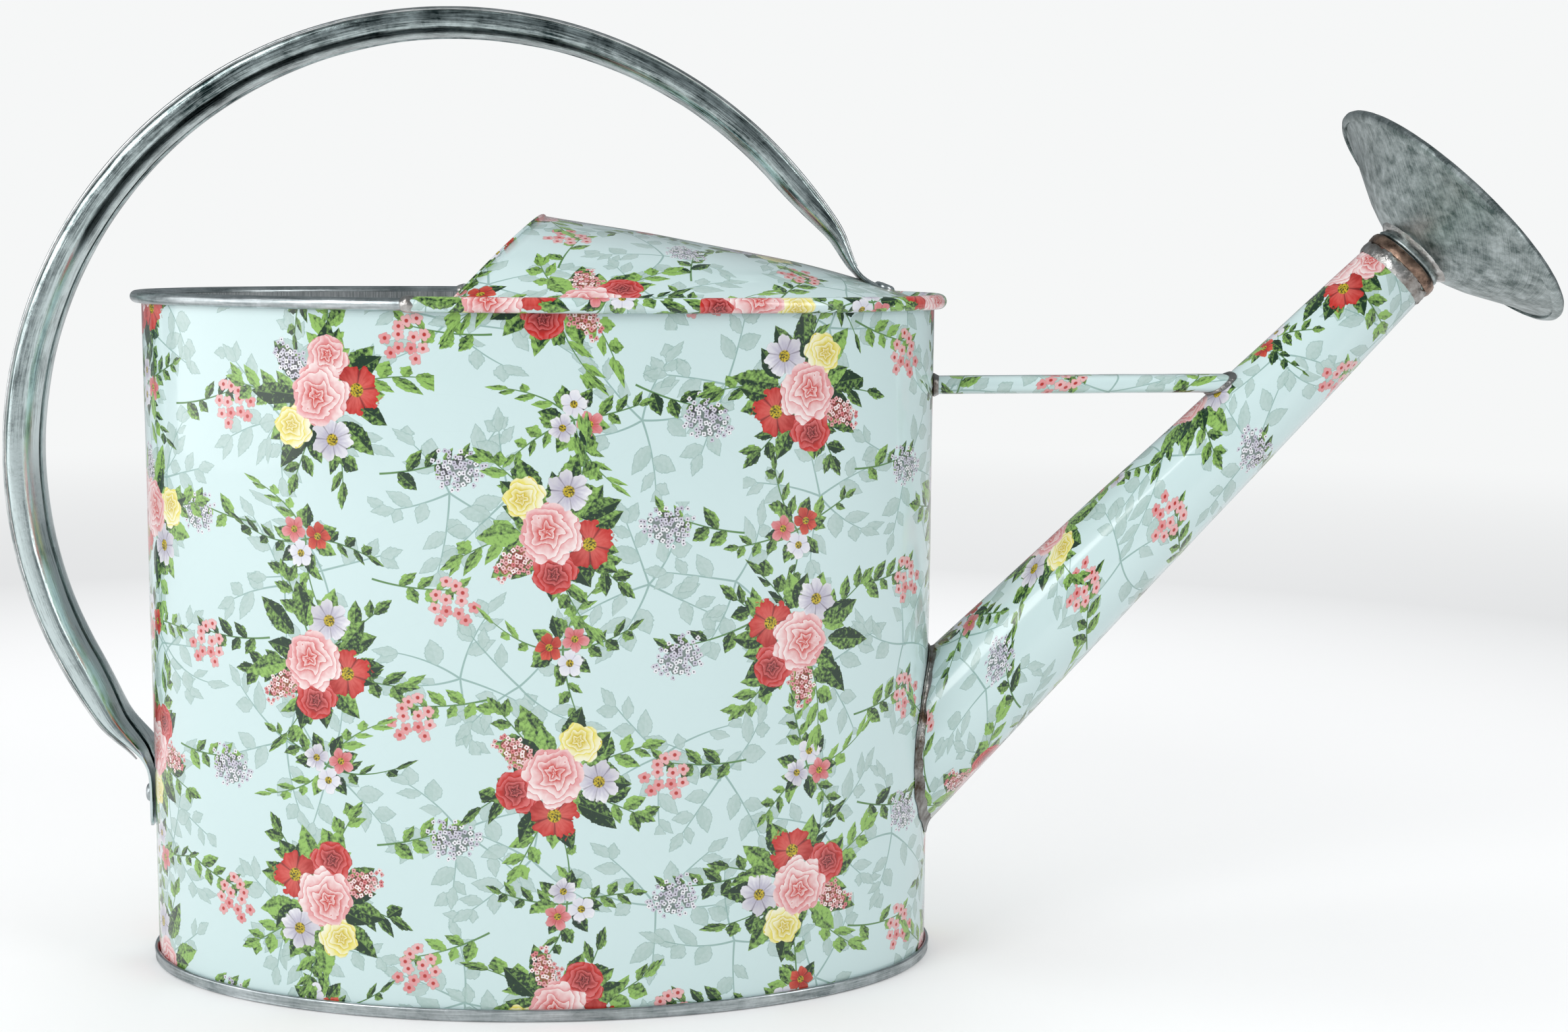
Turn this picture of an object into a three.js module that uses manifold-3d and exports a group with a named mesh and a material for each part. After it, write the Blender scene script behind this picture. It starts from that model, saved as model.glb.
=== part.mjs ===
// An oval sheet-steel watering can: a wired-rim body, a crimped half hood, a rolled loop handle
// riveted at both feet, a soldered spout with its brace, and a push-fit rose that pulls off.
// Millimetres, +Z up. The origin is on the floor at the centre of the oval base, and the spout
// points along +X.
import * as THREE from "three";
import { mergeVertices } from "three/addons/utils/BufferGeometryUtils.js";
import Module from "manifold-3d";

const wasm = await Module();
wasm.setup();

// ---- driving dimensions ----

const GAP = 0.3; // running or solder gap between pieces that touch
const BODY = { halfLength: 140, halfWidth: 80, sheet: 0.55, sides: 48 };
const RIM = { height: 238, wireRadius: 1.0 };
const PAN = { sheet: 0.7, seamHeight: 4.3 };
const HOOD = { sheet: 0.45, edgeHeight: 235.8, mouthFoot: 100.7, lipStart: 105, rows: 14, columns: 10 };
const HANDLE = {
  centre: new THREE.Vector2(-29, 179),
  radius: 160.3,
  depth: 10.5,
  width: 22,
  footDepth: 1.8,
  footWidth: 25.5,
  sheet: 0.6,
  slit: 2.5,
  swell: 28, // how far past a foot the flat strip takes to become the full oval
};
const SPOUT = { start: new THREE.Vector3(139.5, 0, 79.3), rise: 45.6, length: 243, rootRadius: 22.3, tipRadius: 13.1, sheet: 0.6 };
const BRACE = { height: 207.8, width: 13, depth: 6.6, sheet: 0.5, slit: 2 };
const ROSE = { neckRadius: 12.1, neckStart: 219, rimRadius: 52.4, sheet: 0.6, holeRings: 3, holeRadius: 1.3, holePitch: 13.2 };
const RIVET = { shank: 1.5, head: 2.6, dome: 1.1, spread: 6.2 };

// ---- colours ----

const zincLook = { color: 0x9aa3a6, roughness: 0.38, metalness: 0.9 };
const printLook = { color: 0xd3e6e6, roughness: 0.2, metalness: 0.0 };
const solderLook = { color: 0xb9bcbc, roughness: 0.28, metalness: 0.95 };
const scorchedLook = { color: 0x6b4a35, roughness: 0.45, metalness: 0.7 };

// ---- solids and cuts ----

/** A closed geometry as a manifold-3d solid. */
function solid(geometry) {
  const bare = geometry.index ? geometry.toNonIndexed() : geometry.clone();
  for (const name of Object.keys(bare.attributes)) {
    if (name !== "position") bare.deleteAttribute(name);
  }
  const merged = mergeVertices(bare, 1e-4);
  const kept = [];
  for (let i = 0; i < merged.index.count; i += 3) {
    const [a, b, c] = [0, 1, 2].map((k) => merged.index.getX(i + k));
    if (a !== b && b !== c && c !== a) kept.push(a, b, c);
  }
  const vertProperties = merged.attributes.position.array;
  return new wasm.Manifold(new wasm.Mesh({ numProp: 3, vertProperties, triVerts: new Uint32Array(kept) }));
}

/** A manifold-3d solid as a geometry. */
function geometryOf(made) {
  const mesh = made.getMesh();
  const geometry = new THREE.BufferGeometry();
  geometry.setAttribute("position", new THREE.BufferAttribute(mesh.vertProperties, 3));
  geometry.setIndex(new THREE.BufferAttribute(mesh.triVerts, 1));
  geometry.computeVertexNormals();
  return geometry;
}

/** The geometry with its faces turned outwards, whichever way its rings ran. */
function facingOut(geometry) {
  const { position } = geometry.attributes;
  const corner = [0, 1, 2].map(() => new THREE.Vector3());
  const index = geometry.index.array;
  let volume = 0;
  for (let i = 0; i < index.length; i += 3) {
    corner.forEach((v, k) => v.fromBufferAttribute(position, index[i + k]));
    volume += corner[0].dot(corner[1].clone().cross(corner[2]));
  }
  if (volume < 0) {
    for (let i = 0; i < index.length; i += 3) [index[i], index[i + 1]] = [index[i + 1], index[i]];
  }
  return geometry;
}

/** Triangles of a flat closed outline, all turning the way that the outline does. */
function capOf(outline) {
  const turn = Math.sign(THREE.ShapeUtils.area(outline));
  return THREE.ShapeUtils.triangulateShape(outline, []).map((t) => {
    const same = Math.sign(THREE.ShapeUtils.area(t.map((k) => outline[k]))) === turn;
    return same ? t : [t[0], t[2], t[1]];
  });
}

/** Joins equal rings of points into one skin, closed by cap at both ends or, without it, into a loop. */
function skin(rings, cap = null) {
  const count = rings[0].length;
  const index = [];
  const spans = cap ? rings.length - 1 : rings.length;
  for (let i = 0; i < spans; i++) {
    const here = i * count;
    const next = ((i + 1) % rings.length) * count;
    for (let j = 0; j < count; j++) {
      const k = (j + 1) % count;
      index.push(here + j, next + j, here + k, here + k, next + j, next + k);
    }
  }
  const last = (rings.length - 1) * count;
  for (const [a, b, c] of cap ?? []) index.push(a, b, c, last + a, last + c, last + b);
  const geometry = new THREE.BufferGeometry().setFromPoints(rings.flat());
  return facingOut(geometry.setIndex(index));
}

/** A line of Vector2 given a thickness: the closed outline of the bent sheet. */
function thicken(line, thickness) {
  const side = (sign) =>
    line.map((point, i) => {
      const before = line[Math.max(i - 1, 0)];
      const after = line[Math.min(i + 1, line.length - 1)];
      const way = (a, b) => b.clone().sub(a).normalize();
      const into = i > 0 ? way(before, point) : way(point, after);
      const out = i < line.length - 1 ? way(point, after) : into;
      const along = into.clone().add(out).normalize();
      const reach = (sign * thickness) / 2 / Math.max(along.dot(into), 0.5);
      return new THREE.Vector2(point.x - along.y * reach, point.y + along.x * reach);
    });
  return [...side(1), ...side(-1).reverse()];
}

/** Points of an arc about (x, y), from one angle to another in degrees. */
function arc(x, y, radius, from, to, steps) {
  return Array.from({ length: steps + 1 }, (_, i) => {
    const angle = THREE.MathUtils.degToRad(THREE.MathUtils.lerp(from, to, i / steps));
    return new THREE.Vector2(x + radius * Math.cos(angle), y + radius * Math.sin(angle));
  });
}

const points = (...pairs) => pairs.map(([x, y]) => new THREE.Vector2(x, y));

// ---- the oval that the body, rim, base and hood share ----

/** The point at this angle on the body's oval, moved outwards by offset. */
function onOval(angle, offset) {
  const across = new THREE.Vector2(BODY.halfWidth * Math.cos(angle), BODY.halfLength * Math.sin(angle)).normalize();
  const base = new THREE.Vector2(BODY.halfLength * Math.cos(angle), BODY.halfWidth * Math.sin(angle));
  return base.addScaledVector(across, offset);
}

/** Carries an outline of (offset, height) round the oval, all the way or between two angles in degrees. */
function roundOval(outline, from = 0, to = 360, sides = BODY.sides) {
  const whole = to - from === 360;
  const rings = Array.from({ length: whole ? sides : sides + 1 }, (_, i) => {
    const angle = THREE.MathUtils.degToRad(from + ((to - from) * i) / sides);
    return outline.map((p) => {
      const at = onOval(angle, p.x);
      return new THREE.Vector3(at.x, at.y, p.y);
    });
  });
  return skin(rings, whole ? null : capOf(outline));
}

/** A solid oval block, this far outside the body's wall. */
function ovalBlock(offset, bottom, top) {
  const outline = Array.from({ length: BODY.sides }, (_, i) => onOval((2 * Math.PI * i) / BODY.sides, offset));
  const block = new THREE.ExtrudeGeometry(new THREE.Shape(outline), { depth: top - bottom, bevelEnabled: false });
  return solid(block.translate(0, 0, bottom));
}

// ---- the spout's line, which the body's hole, the solder, the brace and the rose follow ----

const spoutAngle = THREE.MathUtils.degToRad(SPOUT.rise);
const spoutWay = new THREE.Vector3(Math.cos(spoutAngle), 0, Math.sin(spoutAngle));
const spoutTurn = new THREE.Quaternion().setFromUnitVectors(new THREE.Vector3(0, 1, 0), spoutWay);
const spoutRadius = (along) => THREE.MathUtils.lerp(SPOUT.rootRadius, SPOUT.tipRadius, along / SPOUT.length);

/** Turns an outline of (radius, distance along the spout) round the spout's line. */
function roundSpout(outline, sides = 32) {
  const rising = THREE.ShapeUtils.area(outline) > 0 ? outline : outline.toReversed();
  const profile = [...rising, rising[0]];
  const turned = new THREE.LatheGeometry(profile, sides);
  return solid(turned.applyQuaternion(spoutTurn).translate(...SPOUT.start.toArray()));
}

/** A ring round the spout, between two offsets from its wall and two distances along it. */
function spoutRing(inner, outer, from, to) {
  const at = (offset, along) => [spoutRadius(along) + offset, along];
  return roundSpout(points(at(inner, from), at(outer, from), at(outer, to), at(inner, to)));
}

/** The spout's own space as a solid cone, grown or shrunk by offset. */
function spoutCone(offset, from, to) {
  return roundSpout(points([0, from], [spoutRadius(from) + offset, from], [spoutRadius(to) + offset, to], [0, to]));
}

// ---- rivets and their holes ----

const footSlope = Math.atan2(7.3, 18.2); // how steeply the front foot lies on the hood
const rivetSpots = [
  { name: "rear_rivet_left", at: [-143, -RIVET.spread, 59.5], out: [-1, 0, 0], grip: 4.3 },
  { name: "rear_rivet_right", at: [-143, RIVET.spread, 59.5], out: [-1, 0, 0], grip: 4.3 },
  { name: "front_rivet_left", at: [122.2, -RIVET.spread, 243.05], out: [Math.sin(footSlope), 0, Math.cos(footSlope)], grip: 3 },
  { name: "front_rivet_right", at: [122.2, RIVET.spread, 243.05], out: [Math.sin(footSlope), 0, Math.cos(footSlope)], grip: 3 },
];

/** Places something drawn along +Y at a rivet, its head outwards. */
function atRivet(geometry, spot) {
  const turn = new THREE.Quaternion().setFromUnitVectors(new THREE.Vector3(0, 1, 0), new THREE.Vector3(...spot.out));
  return geometry.applyQuaternion(turn).translate(...spot.at);
}

/** The clearance hole for one rivet, long enough for the foot and the sheet behind it. */
function rivetHole(spot) {
  return solid(atRivet(new THREE.CylinderGeometry(RIVET.shank + GAP, RIVET.shank + GAP, 16, 12), spot));
}

/** A rivet: a low domed head on the foot, a shank, and the tail set on the far side. */
function rivet(spot) {
  const dome = arc(0, 0, 1, 0, 90, 3).map((p) => new THREE.Vector2(p.x * RIVET.head, GAP + p.y * RIVET.dome));
  const tail = -spot.grip - 2 * GAP;
  const stem = points([0, tail - 0.9], [RIVET.head - 0.5, tail - 0.6], [RIVET.head - 0.4, tail], [RIVET.shank, tail], [RIVET.shank, GAP]);
  return atRivet(new THREE.LatheGeometry([...stem, ...dome.slice(0, -1), new THREE.Vector2(0, GAP + RIVET.dome)], 12), spot);
}

// ---- body, rim wire and base ----

const curlRadius = RIM.wireRadius + GAP + BODY.sheet / 2;
const curlCentre = curlRadius - BODY.sheet / 2;

/** The printed oval wall, its top edge curled outwards round the rim wire, with the water's way to the spout. */
function bodyWall() {
  const foot = points([-BODY.sheet / 2, PAN.sheet + GAP]);
  const curl = arc(curlCentre, RIM.height, curlRadius, 180, -100, 7);
  let made = solid(roundOval(thicken([...foot, ...curl], BODY.sheet)));
  made = made.subtract(spoutCone(-SPOUT.sheet, -34, 34));
  for (const spot of rivetSpots.slice(0, 2)) made = made.subtract(rivetHole(spot));
  return geometryOf(made);
}

function rimWire() {
  return roundOval(arc(curlCentre, RIM.height, RIM.wireRadius, 0, 300, 5));
}

/** The flat bottom plate, its edge folded up outside the wall. */
function basePan() {
  const inside = GAP;
  const outside = GAP + PAN.sheet;
  const leg = points([-8, 0], [outside, 0], [outside, PAN.seamHeight], [inside, PAN.seamHeight], [inside, PAN.sheet], [-8, PAN.sheet]);
  return geometryOf(solid(roundOval(leg)).add(ovalBlock(-6, 0, PAN.sheet)));
}

/** The bead of sealant in the corner between the plate and the wall. */
function baseSealant() {
  const wall = -BODY.sheet - GAP;
  const plate = PAN.sheet + GAP;
  return roundOval(points([wall, plate], [wall, plate + 4], [wall - 1.4, plate + 1.4], [wall - 4, plate]));
}

// ---- hood ----

/** The hood's ridge, from the mouth's peak down to the rim at the spout end. */
const ridge = new THREE.SplineCurve(
  points([0.7, 267.1], [40, 261.2], [80, 253.8], [105, 247.6], [119, 242.1], [130, 237.8], [BODY.halfLength - 1.1, HOOD.edgeHeight]),
);

/** The hood's vaulted sheet as rows across it, from the mouth to the point where it meets the rim. */
function hoodRows() {
  const edge = -BODY.sheet - GAP - HOOD.sheet / 2;
  const start = THREE.MathUtils.degToRad(HOOD.mouthFoot);
  return Array.from({ length: HOOD.rows + 1 }, (_, i) => {
    const foot = onOval(start * (1 - i / HOOD.rows), edge);
    const first = onOval(start, edge);
    const share = (foot.x - first.x) / (onOval(0, edge).x - first.x);
    const top = ridge.getPoint(share);
    const rise = Math.max(top.y - HOOD.edgeHeight, 1e-6);
    const radius = (foot.y ** 2 + rise ** 2) / (2 * rise);
    const half = Math.asin(Math.min(foot.y / radius, 1));
    return Array.from({ length: HOOD.columns + 1 }, (_, j) => {
      const lean = half * ((2 * j) / HOOD.columns - 1);
      const z = foot.y < 1e-6 ? HOOD.edgeHeight : top.y - radius * (1 - Math.cos(lean));
      const x = THREE.MathUtils.lerp(foot.x, top.x, (z - HOOD.edgeHeight) / rise);
      return new THREE.Vector3(foot.y < 1e-6 ? foot.x : x, foot.y < 1e-6 ? 0 : radius * Math.sin(lean), z);
    });
  });
}

/** A closed sheet from rows of points, its underside straight below them. */
function sheet(rows, drop) {
  const under = (p) => new THREE.Vector3(p.x, p.y, p.z - drop);
  return skin(rows.map((row) => [...row, ...row.map(under).reverse()]), flatCap(rows[0].length));
}

/** The cap of a strip whose ring runs out along its top and back along its underside. */
function flatCap(count) {
  const cap = [];
  for (let j = 0; j < count - 1; j++) {
    const [k, below, beyond] = [j + 1, 2 * count - 1 - j, 2 * count - 2 - j];
    cap.push([j, k, below], [k, beyond, below]);
  }
  return cap;
}

/** The hood: its vault, and the lip that climbs the wall and is crimped over the rim's curl. */
function hood() {
  const hug = curlRadius + BODY.sheet / 2 + GAP + HOOD.sheet / 2;
  const climb = points([curlCentre - hug, HOOD.edgeHeight - 0.5]);
  const lip = [...climb, ...arc(curlCentre, RIM.height, hug, 180, -70, 6)];
  const steps = (2 * HOOD.lipStart * BODY.sides) / 360;
  const crimp = roundOval(thicken(lip, HOOD.sheet), -HOOD.lipStart, HOOD.lipStart, steps);
  let made = solid(sheet(hoodRows(), HOOD.sheet * 1.3)).add(solid(crimp));
  for (const spot of rivetSpots.slice(2)) made = made.subtract(rivetHole(spot));
  return geometryOf(made);
}

// ---- handle ----

/** The line of the handle's outer face in the can's mid-plane, from the rear foot to the front one. */
function handleLine() {
  const line = new THREE.Path();
  line.moveTo(-143.0, 47.7);
  line.lineTo(-143.0, 69);
  line.quadraticCurveTo(-143.0, 71.6, -146, 74);
  line.lineTo(-157, 82.5);
  const { x, y } = HANDLE.centre;
  line.absarc(x, y, HANDLE.radius, THREE.MathUtils.degToRad(217), THREE.MathUtils.degToRad(31.5), true);
  line.lineTo(111.2, 251.5);
  line.quadraticCurveTo(112.2, 247.1, 115, 245.94);
  line.lineTo(131.3, 239.4);
  return line;
}

/** One ring of the rolled strip, an oval that stays open along a slit on its inner side. */
function handleRing(at, inward, depth, width) {
  const slit = Math.asin(HANDLE.slit / width);
  const loop = (shrink) =>
    Array.from({ length: 9 }, (_, i) => {
      const angle = slit + ((2 * Math.PI - 2 * slit) * i) / 8;
      const deep = depth / 2 + Math.cos(angle) * (depth / 2 - shrink);
      return { deep, side: Math.sin(angle) * (width / 2 - shrink) };
    });
  return [...loop(0), ...loop(HANDLE.sheet).reverse()].map(
    ({ deep, side }) => new THREE.Vector3(at.x + inward.x * deep, side, at.y + inward.y * deep),
  );
}

/** The rolled handle, swelling from flat riveted feet to its full oval grip. */
function handle() {
  const line = handleLine();
  const length = line.getLength();
  const rearFoot = 24;
  const frontFoot = 21;
  const stations = [0, 20, 22.5, 25, 28];
  for (let i = 1; i < 28; i++) stations.push(28 + ((length - 56) * i) / 28);
  stations.push(length - 28, length - 25, length - 22.5, length - 20, length);
  const rings = stations.map((s) => {
    const way = line.getTangentAt(s / length);
    const past = Math.min(s - rearFoot, length - frontFoot - s);
    const swell = THREE.MathUtils.smoothstep(past, -2, HANDLE.swell);
    const depth = THREE.MathUtils.lerp(HANDLE.footDepth, HANDLE.depth, swell);
    const width = THREE.MathUtils.lerp(HANDLE.footWidth, HANDLE.width, swell);
    return handleRing(line.getPointAt(s / length), new THREE.Vector2(way.y, -way.x), depth, width);
  });
  const flat = handleRing(new THREE.Vector2(), new THREE.Vector2(1, 0), HANDLE.depth, HANDLE.width);
  const cap = capOf(flat.map((p) => new THREE.Vector2(p.x, p.y)));
  let made = solid(skin(rings, cap));
  for (const spot of rivetSpots) made = made.subtract(rivetHole(spot));
  return geometryOf(made);
}

// ---- spout, its solder and its mouth ring ----

function spoutTube() {
  const tube = spoutRing(-SPOUT.sheet, 0, -48, SPOUT.length);
  return geometryOf(tube.subtract(ovalBlock(GAP, -30, 300)));
}

/** The fillet of solder round the spout's root, against the body. */
function spoutBaseSolder() {
  const band = ovalBlock(3.2, 20, 150).subtract(ovalBlock(GAP, 0, 200));
  return geometryOf(spoutRing(GAP, 2.4, -40, 60).intersect(band));
}

function spoutMouthSolder() {
  return geometryOf(spoutRing(GAP, 0.9, SPOUT.length - 6.6, SPOUT.length - 3.6));
}

function spoutMouthRing() {
  return geometryOf(spoutRing(GAP, 1.0, SPOUT.length - 3.3, SPOUT.length + 0.7));
}

// ---- brace ----

/** A bar along X at the brace's height, of an oval section grown by offset. */
function braceBar(offset, from, to) {
  const section = new THREE.Shape();
  section.absellipse(0, 0, BRACE.depth / 2 + offset, BRACE.width / 2 + offset, 0, 2 * Math.PI);
  const bar = new THREE.ExtrudeGeometry(section, { depth: to - from, bevelEnabled: false, curveSegments: 20 });
  return solid(bar.rotateY(Math.PI / 2).translate(from, 0, BRACE.height));
}

/** The rolled oval brace, open along a slit below, shaped at its ends to the body and the spout. */
function braceTube() {
  const slit = new THREE.BoxGeometry(160, BRACE.slit, BRACE.depth).translate(200, 0, BRACE.height - BRACE.depth / 2);
  return geometryOf(
    braceBar(0, 120, 262)
      .subtract(braceBar(-BRACE.sheet, 110, 270))
      .subtract(solid(slit))
      .subtract(ovalBlock(GAP, 150, 260))
      .subtract(spoutCone(GAP, 100, 240)),
  );
}

/** The ring of solder that holds the brace to the body. */
function braceBodySolder() {
  const band = ovalBlock(2.2, 190, 225).subtract(ovalBlock(GAP, 180, 235));
  const ring = braceBar(1.6, 120, 160).subtract(braceBar(GAP, 110, 170));
  return geometryOf(ring.intersect(band));
}

/** The ring of solder that holds the brace to the spout's upper side. */
function braceSpoutSolder() {
  const ring = braceBar(1.4, 200, 262).subtract(braceBar(GAP, 190, 270));
  return geometryOf(ring.intersect(spoutRing(GAP, 2.0, 120, 235)));
}

// ---- rose ----

/** The neck sleeve: it pushes into the spout and stops on its shoulder. */
function roseNeck() {
  const { neckRadius: r, neckStart, sheet } = ROSE;
  const stop = SPOUT.length + 1.1;
  return geometryOf(
    roundSpout(points([r - sheet, neckStart], [r, neckStart], [r, stop], [r + 1.3, stop], [r + 1.3, stop + 1.2], [r, stop + 2.2], [r, stop + 3], [r - sheet, stop + 3]), 32),
  );
}

function roseNeckSolder() {
  const r = ROSE.neckRadius + GAP;
  const base = SPOUT.length + 3.6;
  return geometryOf(roundSpout(points([r, base], [r + 1.3, base], [r + 2.6, base + 0.9], [r, base + 0.5]), 32));
}

/** The flared cone, from the neck to the flange that the face plate grips. */
function roseCone() {
  const l = SPOUT.length;
  const line = points([12.8, l + 4.9], [16, l + 6.1], [27.3, l + 10.8], [38, l + 16.5], [46.5, l + 20.9], [51, l + 23.0]);
  return geometryOf(roundSpout(thicken(line, ROSE.sheet)));
}

/** The perforated face: a shallow dome whose edge folds back round the cone's flange. */
function roseFacePlate() {
  const l = SPOUT.length;
  const rim = ROSE.rimRadius;
  const dome = Array.from({ length: 6 }, (_, i) => new THREE.Vector2((49.5 * i) / 5, l + 29.6 - 5.2 * (i / 5) ** 2));
  const fold = points([rim - 0.7, l + 24.4], [rim, l + 23.6], [rim - 0.2, l + 22.4], [rim - 3.0, l + 20.9]);
  const outline = thicken([...dome, ...fold], ROSE.sheet);
  outline[0].x = 0;
  outline[outline.length - 1].x = 0;
  let plate = roundSpout(outline, 36);
  for (let ring = 0; ring <= ROSE.holeRings; ring++) {
    const count = Math.max(1, 6 * ring);
    for (let k = 0; k < count; k++) plate = plate.subtract(roseHole(ring * ROSE.holePitch, (2 * Math.PI * k) / count));
  }
  return geometryOf(plate);
}

/** One spray hole, along the spout's line. */
function roseHole(distance, angle) {
  const drill = new THREE.CylinderGeometry(ROSE.holeRadius, ROSE.holeRadius, 12, 5);
  drill.translate(distance * Math.cos(angle), SPOUT.length + 27, distance * Math.sin(angle));
  return solid(drill.applyQuaternion(spoutTurn).translate(...SPOUT.start.toArray()));
}

// ---- the assembly ----

function piece(name, geometry, look) {
  const mesh = new THREE.Mesh(geometry, new THREE.MeshStandardMaterial(look));
  mesh.name = name;
  return mesh;
}

const can = new THREE.Group();
can.add(
  piece("body_wall", bodyWall(), printLook),
  piece("rim_wire", rimWire(), zincLook),
  piece("base_pan", basePan(), zincLook),
  piece("base_sealant", baseSealant(), solderLook),
  piece("hood", hood(), printLook),
  piece("handle", handle(), zincLook),
  piece("spout_tube", spoutTube(), printLook),
  piece("spout_base_solder", spoutBaseSolder(), solderLook),
  piece("spout_mouth_solder", spoutMouthSolder(), solderLook),
  piece("spout_mouth_ring", spoutMouthRing(), scorchedLook),
  piece("brace_tube", braceTube(), printLook),
  piece("brace_body_solder", braceBodySolder(), solderLook),
  piece("brace_spout_solder", braceSpoutSolder(), solderLook),
);
for (const spot of rivetSpots) can.add(piece(spot.name, rivet(spot), zincLook));

const rose = new THREE.Group();
rose.add(
  piece("rose_neck", roseNeck(), zincLook),
  piece("rose_neck_solder", roseNeckSolder(), solderLook),
  piece("rose_cone", roseCone(), zincLook),
  piece("rose_face_plate", roseFacePlate(), zincLook),
);
can.add(rose);

export default can;
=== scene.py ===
# A printed oval watering can: the printed and zinc sheet, the solder and the rose around its fixed frame.
import bmesh
import bpy
from math import atan2, cos, pi, radians, sin, sqrt, tau
from mathutils import Matrix, Vector, noise


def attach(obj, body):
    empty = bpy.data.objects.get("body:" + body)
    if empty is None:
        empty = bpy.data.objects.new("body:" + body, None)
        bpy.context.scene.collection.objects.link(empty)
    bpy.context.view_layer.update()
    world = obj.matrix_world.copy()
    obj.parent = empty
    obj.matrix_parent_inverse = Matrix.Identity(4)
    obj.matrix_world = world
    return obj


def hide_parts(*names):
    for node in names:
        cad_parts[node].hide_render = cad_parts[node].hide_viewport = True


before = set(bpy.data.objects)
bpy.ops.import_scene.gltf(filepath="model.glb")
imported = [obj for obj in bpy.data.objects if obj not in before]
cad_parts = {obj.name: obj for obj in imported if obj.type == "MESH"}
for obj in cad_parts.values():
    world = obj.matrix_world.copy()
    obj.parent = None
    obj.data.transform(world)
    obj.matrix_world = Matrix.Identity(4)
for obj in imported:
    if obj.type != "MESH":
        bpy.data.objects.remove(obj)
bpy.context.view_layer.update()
print("frame loaded")

millimetre = 0.001  # the shapes are drawn in millimetres and brought to metres as each is finished
halvings = 30  # steps of a search by halving, enough for a thousandth of a millimetre


def distances(points, closed):
    # how far along its own line each point lies, and the whole length
    steps = [(b - a).length for a, b in zip(points, points[1:] + points[:1])]
    places = [sum(steps[:i]) for i in range(len(points))]
    return places, sum(steps) if closed else places[-1]


def loft(shape, rings, ringClosed=True, pathClosed=False, capped=False, material=None, start=0.0,
         aside=0.0):
    # lays the first ring as edges and draws it out ring by ring with the extrude operator;
    # start and aside move the print along and across the sheet
    uvLayer = shape.loops.layers.uv.get("sheetMm") or shape.loops.layers.uv.new("sheetMm")
    places = {}
    firstEdges, edges, previous, faces = [], [], [], []
    travelled = start
    for i, ring in enumerate(rings):
        if i == 0:
            current = [shape.verts.new(point) for point in ring]
            pairs = list(zip(current, current[1:] + (current[:1] if ringClosed else [])))
            edges = firstEdges = [shape.edges.new(pair) for pair in pairs]
        else:
            made = bmesh.ops.extrude_edge_only(shape, edges=edges)["geom"]
            fresh = {v for v in made if isinstance(v, bmesh.types.BMVert)}
            current = [next(e.other_vert(v) for e in v.link_edges if e.other_vert(v) in fresh)
                       for v in previous]
            edges = [e for e in made if isinstance(e, bmesh.types.BMEdge) and fresh.issuperset(e.verts)]
            for vert, point in zip(current, ring):
                vert.co = point
            grown = [f for f in made if isinstance(f, bmesh.types.BMFace)]
            for face in grown:
                face.material_index = material(i - 1) if material else 0
            faces += grown
            travelled += sum((Vector(a) - Vector(b)).length for a, b in zip(ring, rings[i - 1])) / len(ring)
        along, whole = distances([Vector(p) for p in ring], ringClosed)
        for vert, place in zip(current, along):
            places[vert] = (place - whole / 2, travelled, whole)
        previous = current
    if pathClosed:
        faces += bmesh.ops.bridge_loops(shape, edges=firstEdges + edges)["faces"]
    if capped:
        bmesh.ops.contextual_create(shape, geom=firstEdges)
        bmesh.ops.contextual_create(shape, geom=edges)
    for face in faces:
        spots = [places[loop.vert] for loop in face.loops]
        # a face over the seam has corners at both ends of the sheet
        wraps = max(s[0] for s in spots) - min(s[0] for s in spots) > spots[0][2] * 0.6
        for loop, (u, v, whole) in zip(face.loops, spots):
            loop[uvLayer].uv = (aside + (u + whole if wraps and u < 0 else u), v)
    return faces


def finishPiece(name, shape, materials, body, replaced=(), sharp=38, closed=True):
    if closed:
        bmesh.ops.recalc_face_normals(shape, faces=shape.faces)
    bmesh.ops.scale(shape, vec=(millimetre,) * 3, verts=shape.verts)
    mesh = bpy.data.meshes.new(name)
    shape.to_mesh(mesh)
    shape.free()
    for material in materials:
        mesh.materials.append(material)
    mesh.polygons.foreach_set("use_smooth", [True] * len(mesh.polygons))
    mesh.set_sharp_from_angle(angle=radians(sharp))
    piece = bpy.data.objects.new(name, mesh)
    bpy.context.collection.objects.link(piece)
    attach(piece, body)
    if replaced:
        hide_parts(*replaced)
    return piece


def wobble(point, size, amount):
    # a smooth unevenness of hand-worked metal, the same at the same place every time
    return noise.noise(Vector(point) / size) * amount


def roundSection(radius, count, centre=(0, 0), start=0.0, sweep=360.0):
    # points of an arc as (x, y)
    last = count if sweep == 360.0 else count - 1
    angles = [radians(start + sweep * i / last) for i in range(count)]
    return [(centre[0] + radius * cos(a), centre[1] + radius * sin(a)) for a in angles]


# the oval that the wall, rim, base and hood share
oval = {"halfLength": 140.0, "halfWidth": 80.0, "around": 240, "dentSize": 55}


def ovalPoint(angle, offset=0.0):
    outwards = Vector((oval["halfWidth"] * cos(angle), oval["halfLength"] * sin(angle))).normalized()
    return Vector((oval["halfLength"] * cos(angle), oval["halfWidth"] * sin(angle))) + outwards * offset


def ovalRing(offset, height, uneven):
    ring = []
    for i in range(oval["around"]):
        angle = pi + tau * i / oval["around"]  # the seam of the sheet is behind the handle's foot
        base = ovalPoint(angle)
        swell = wobble((base.x, base.y, height), oval["dentSize"], uneven)
        at = ovalPoint(angle, offset + swell)
        ring.append((at.x, at.y, height))
    return ring


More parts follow.
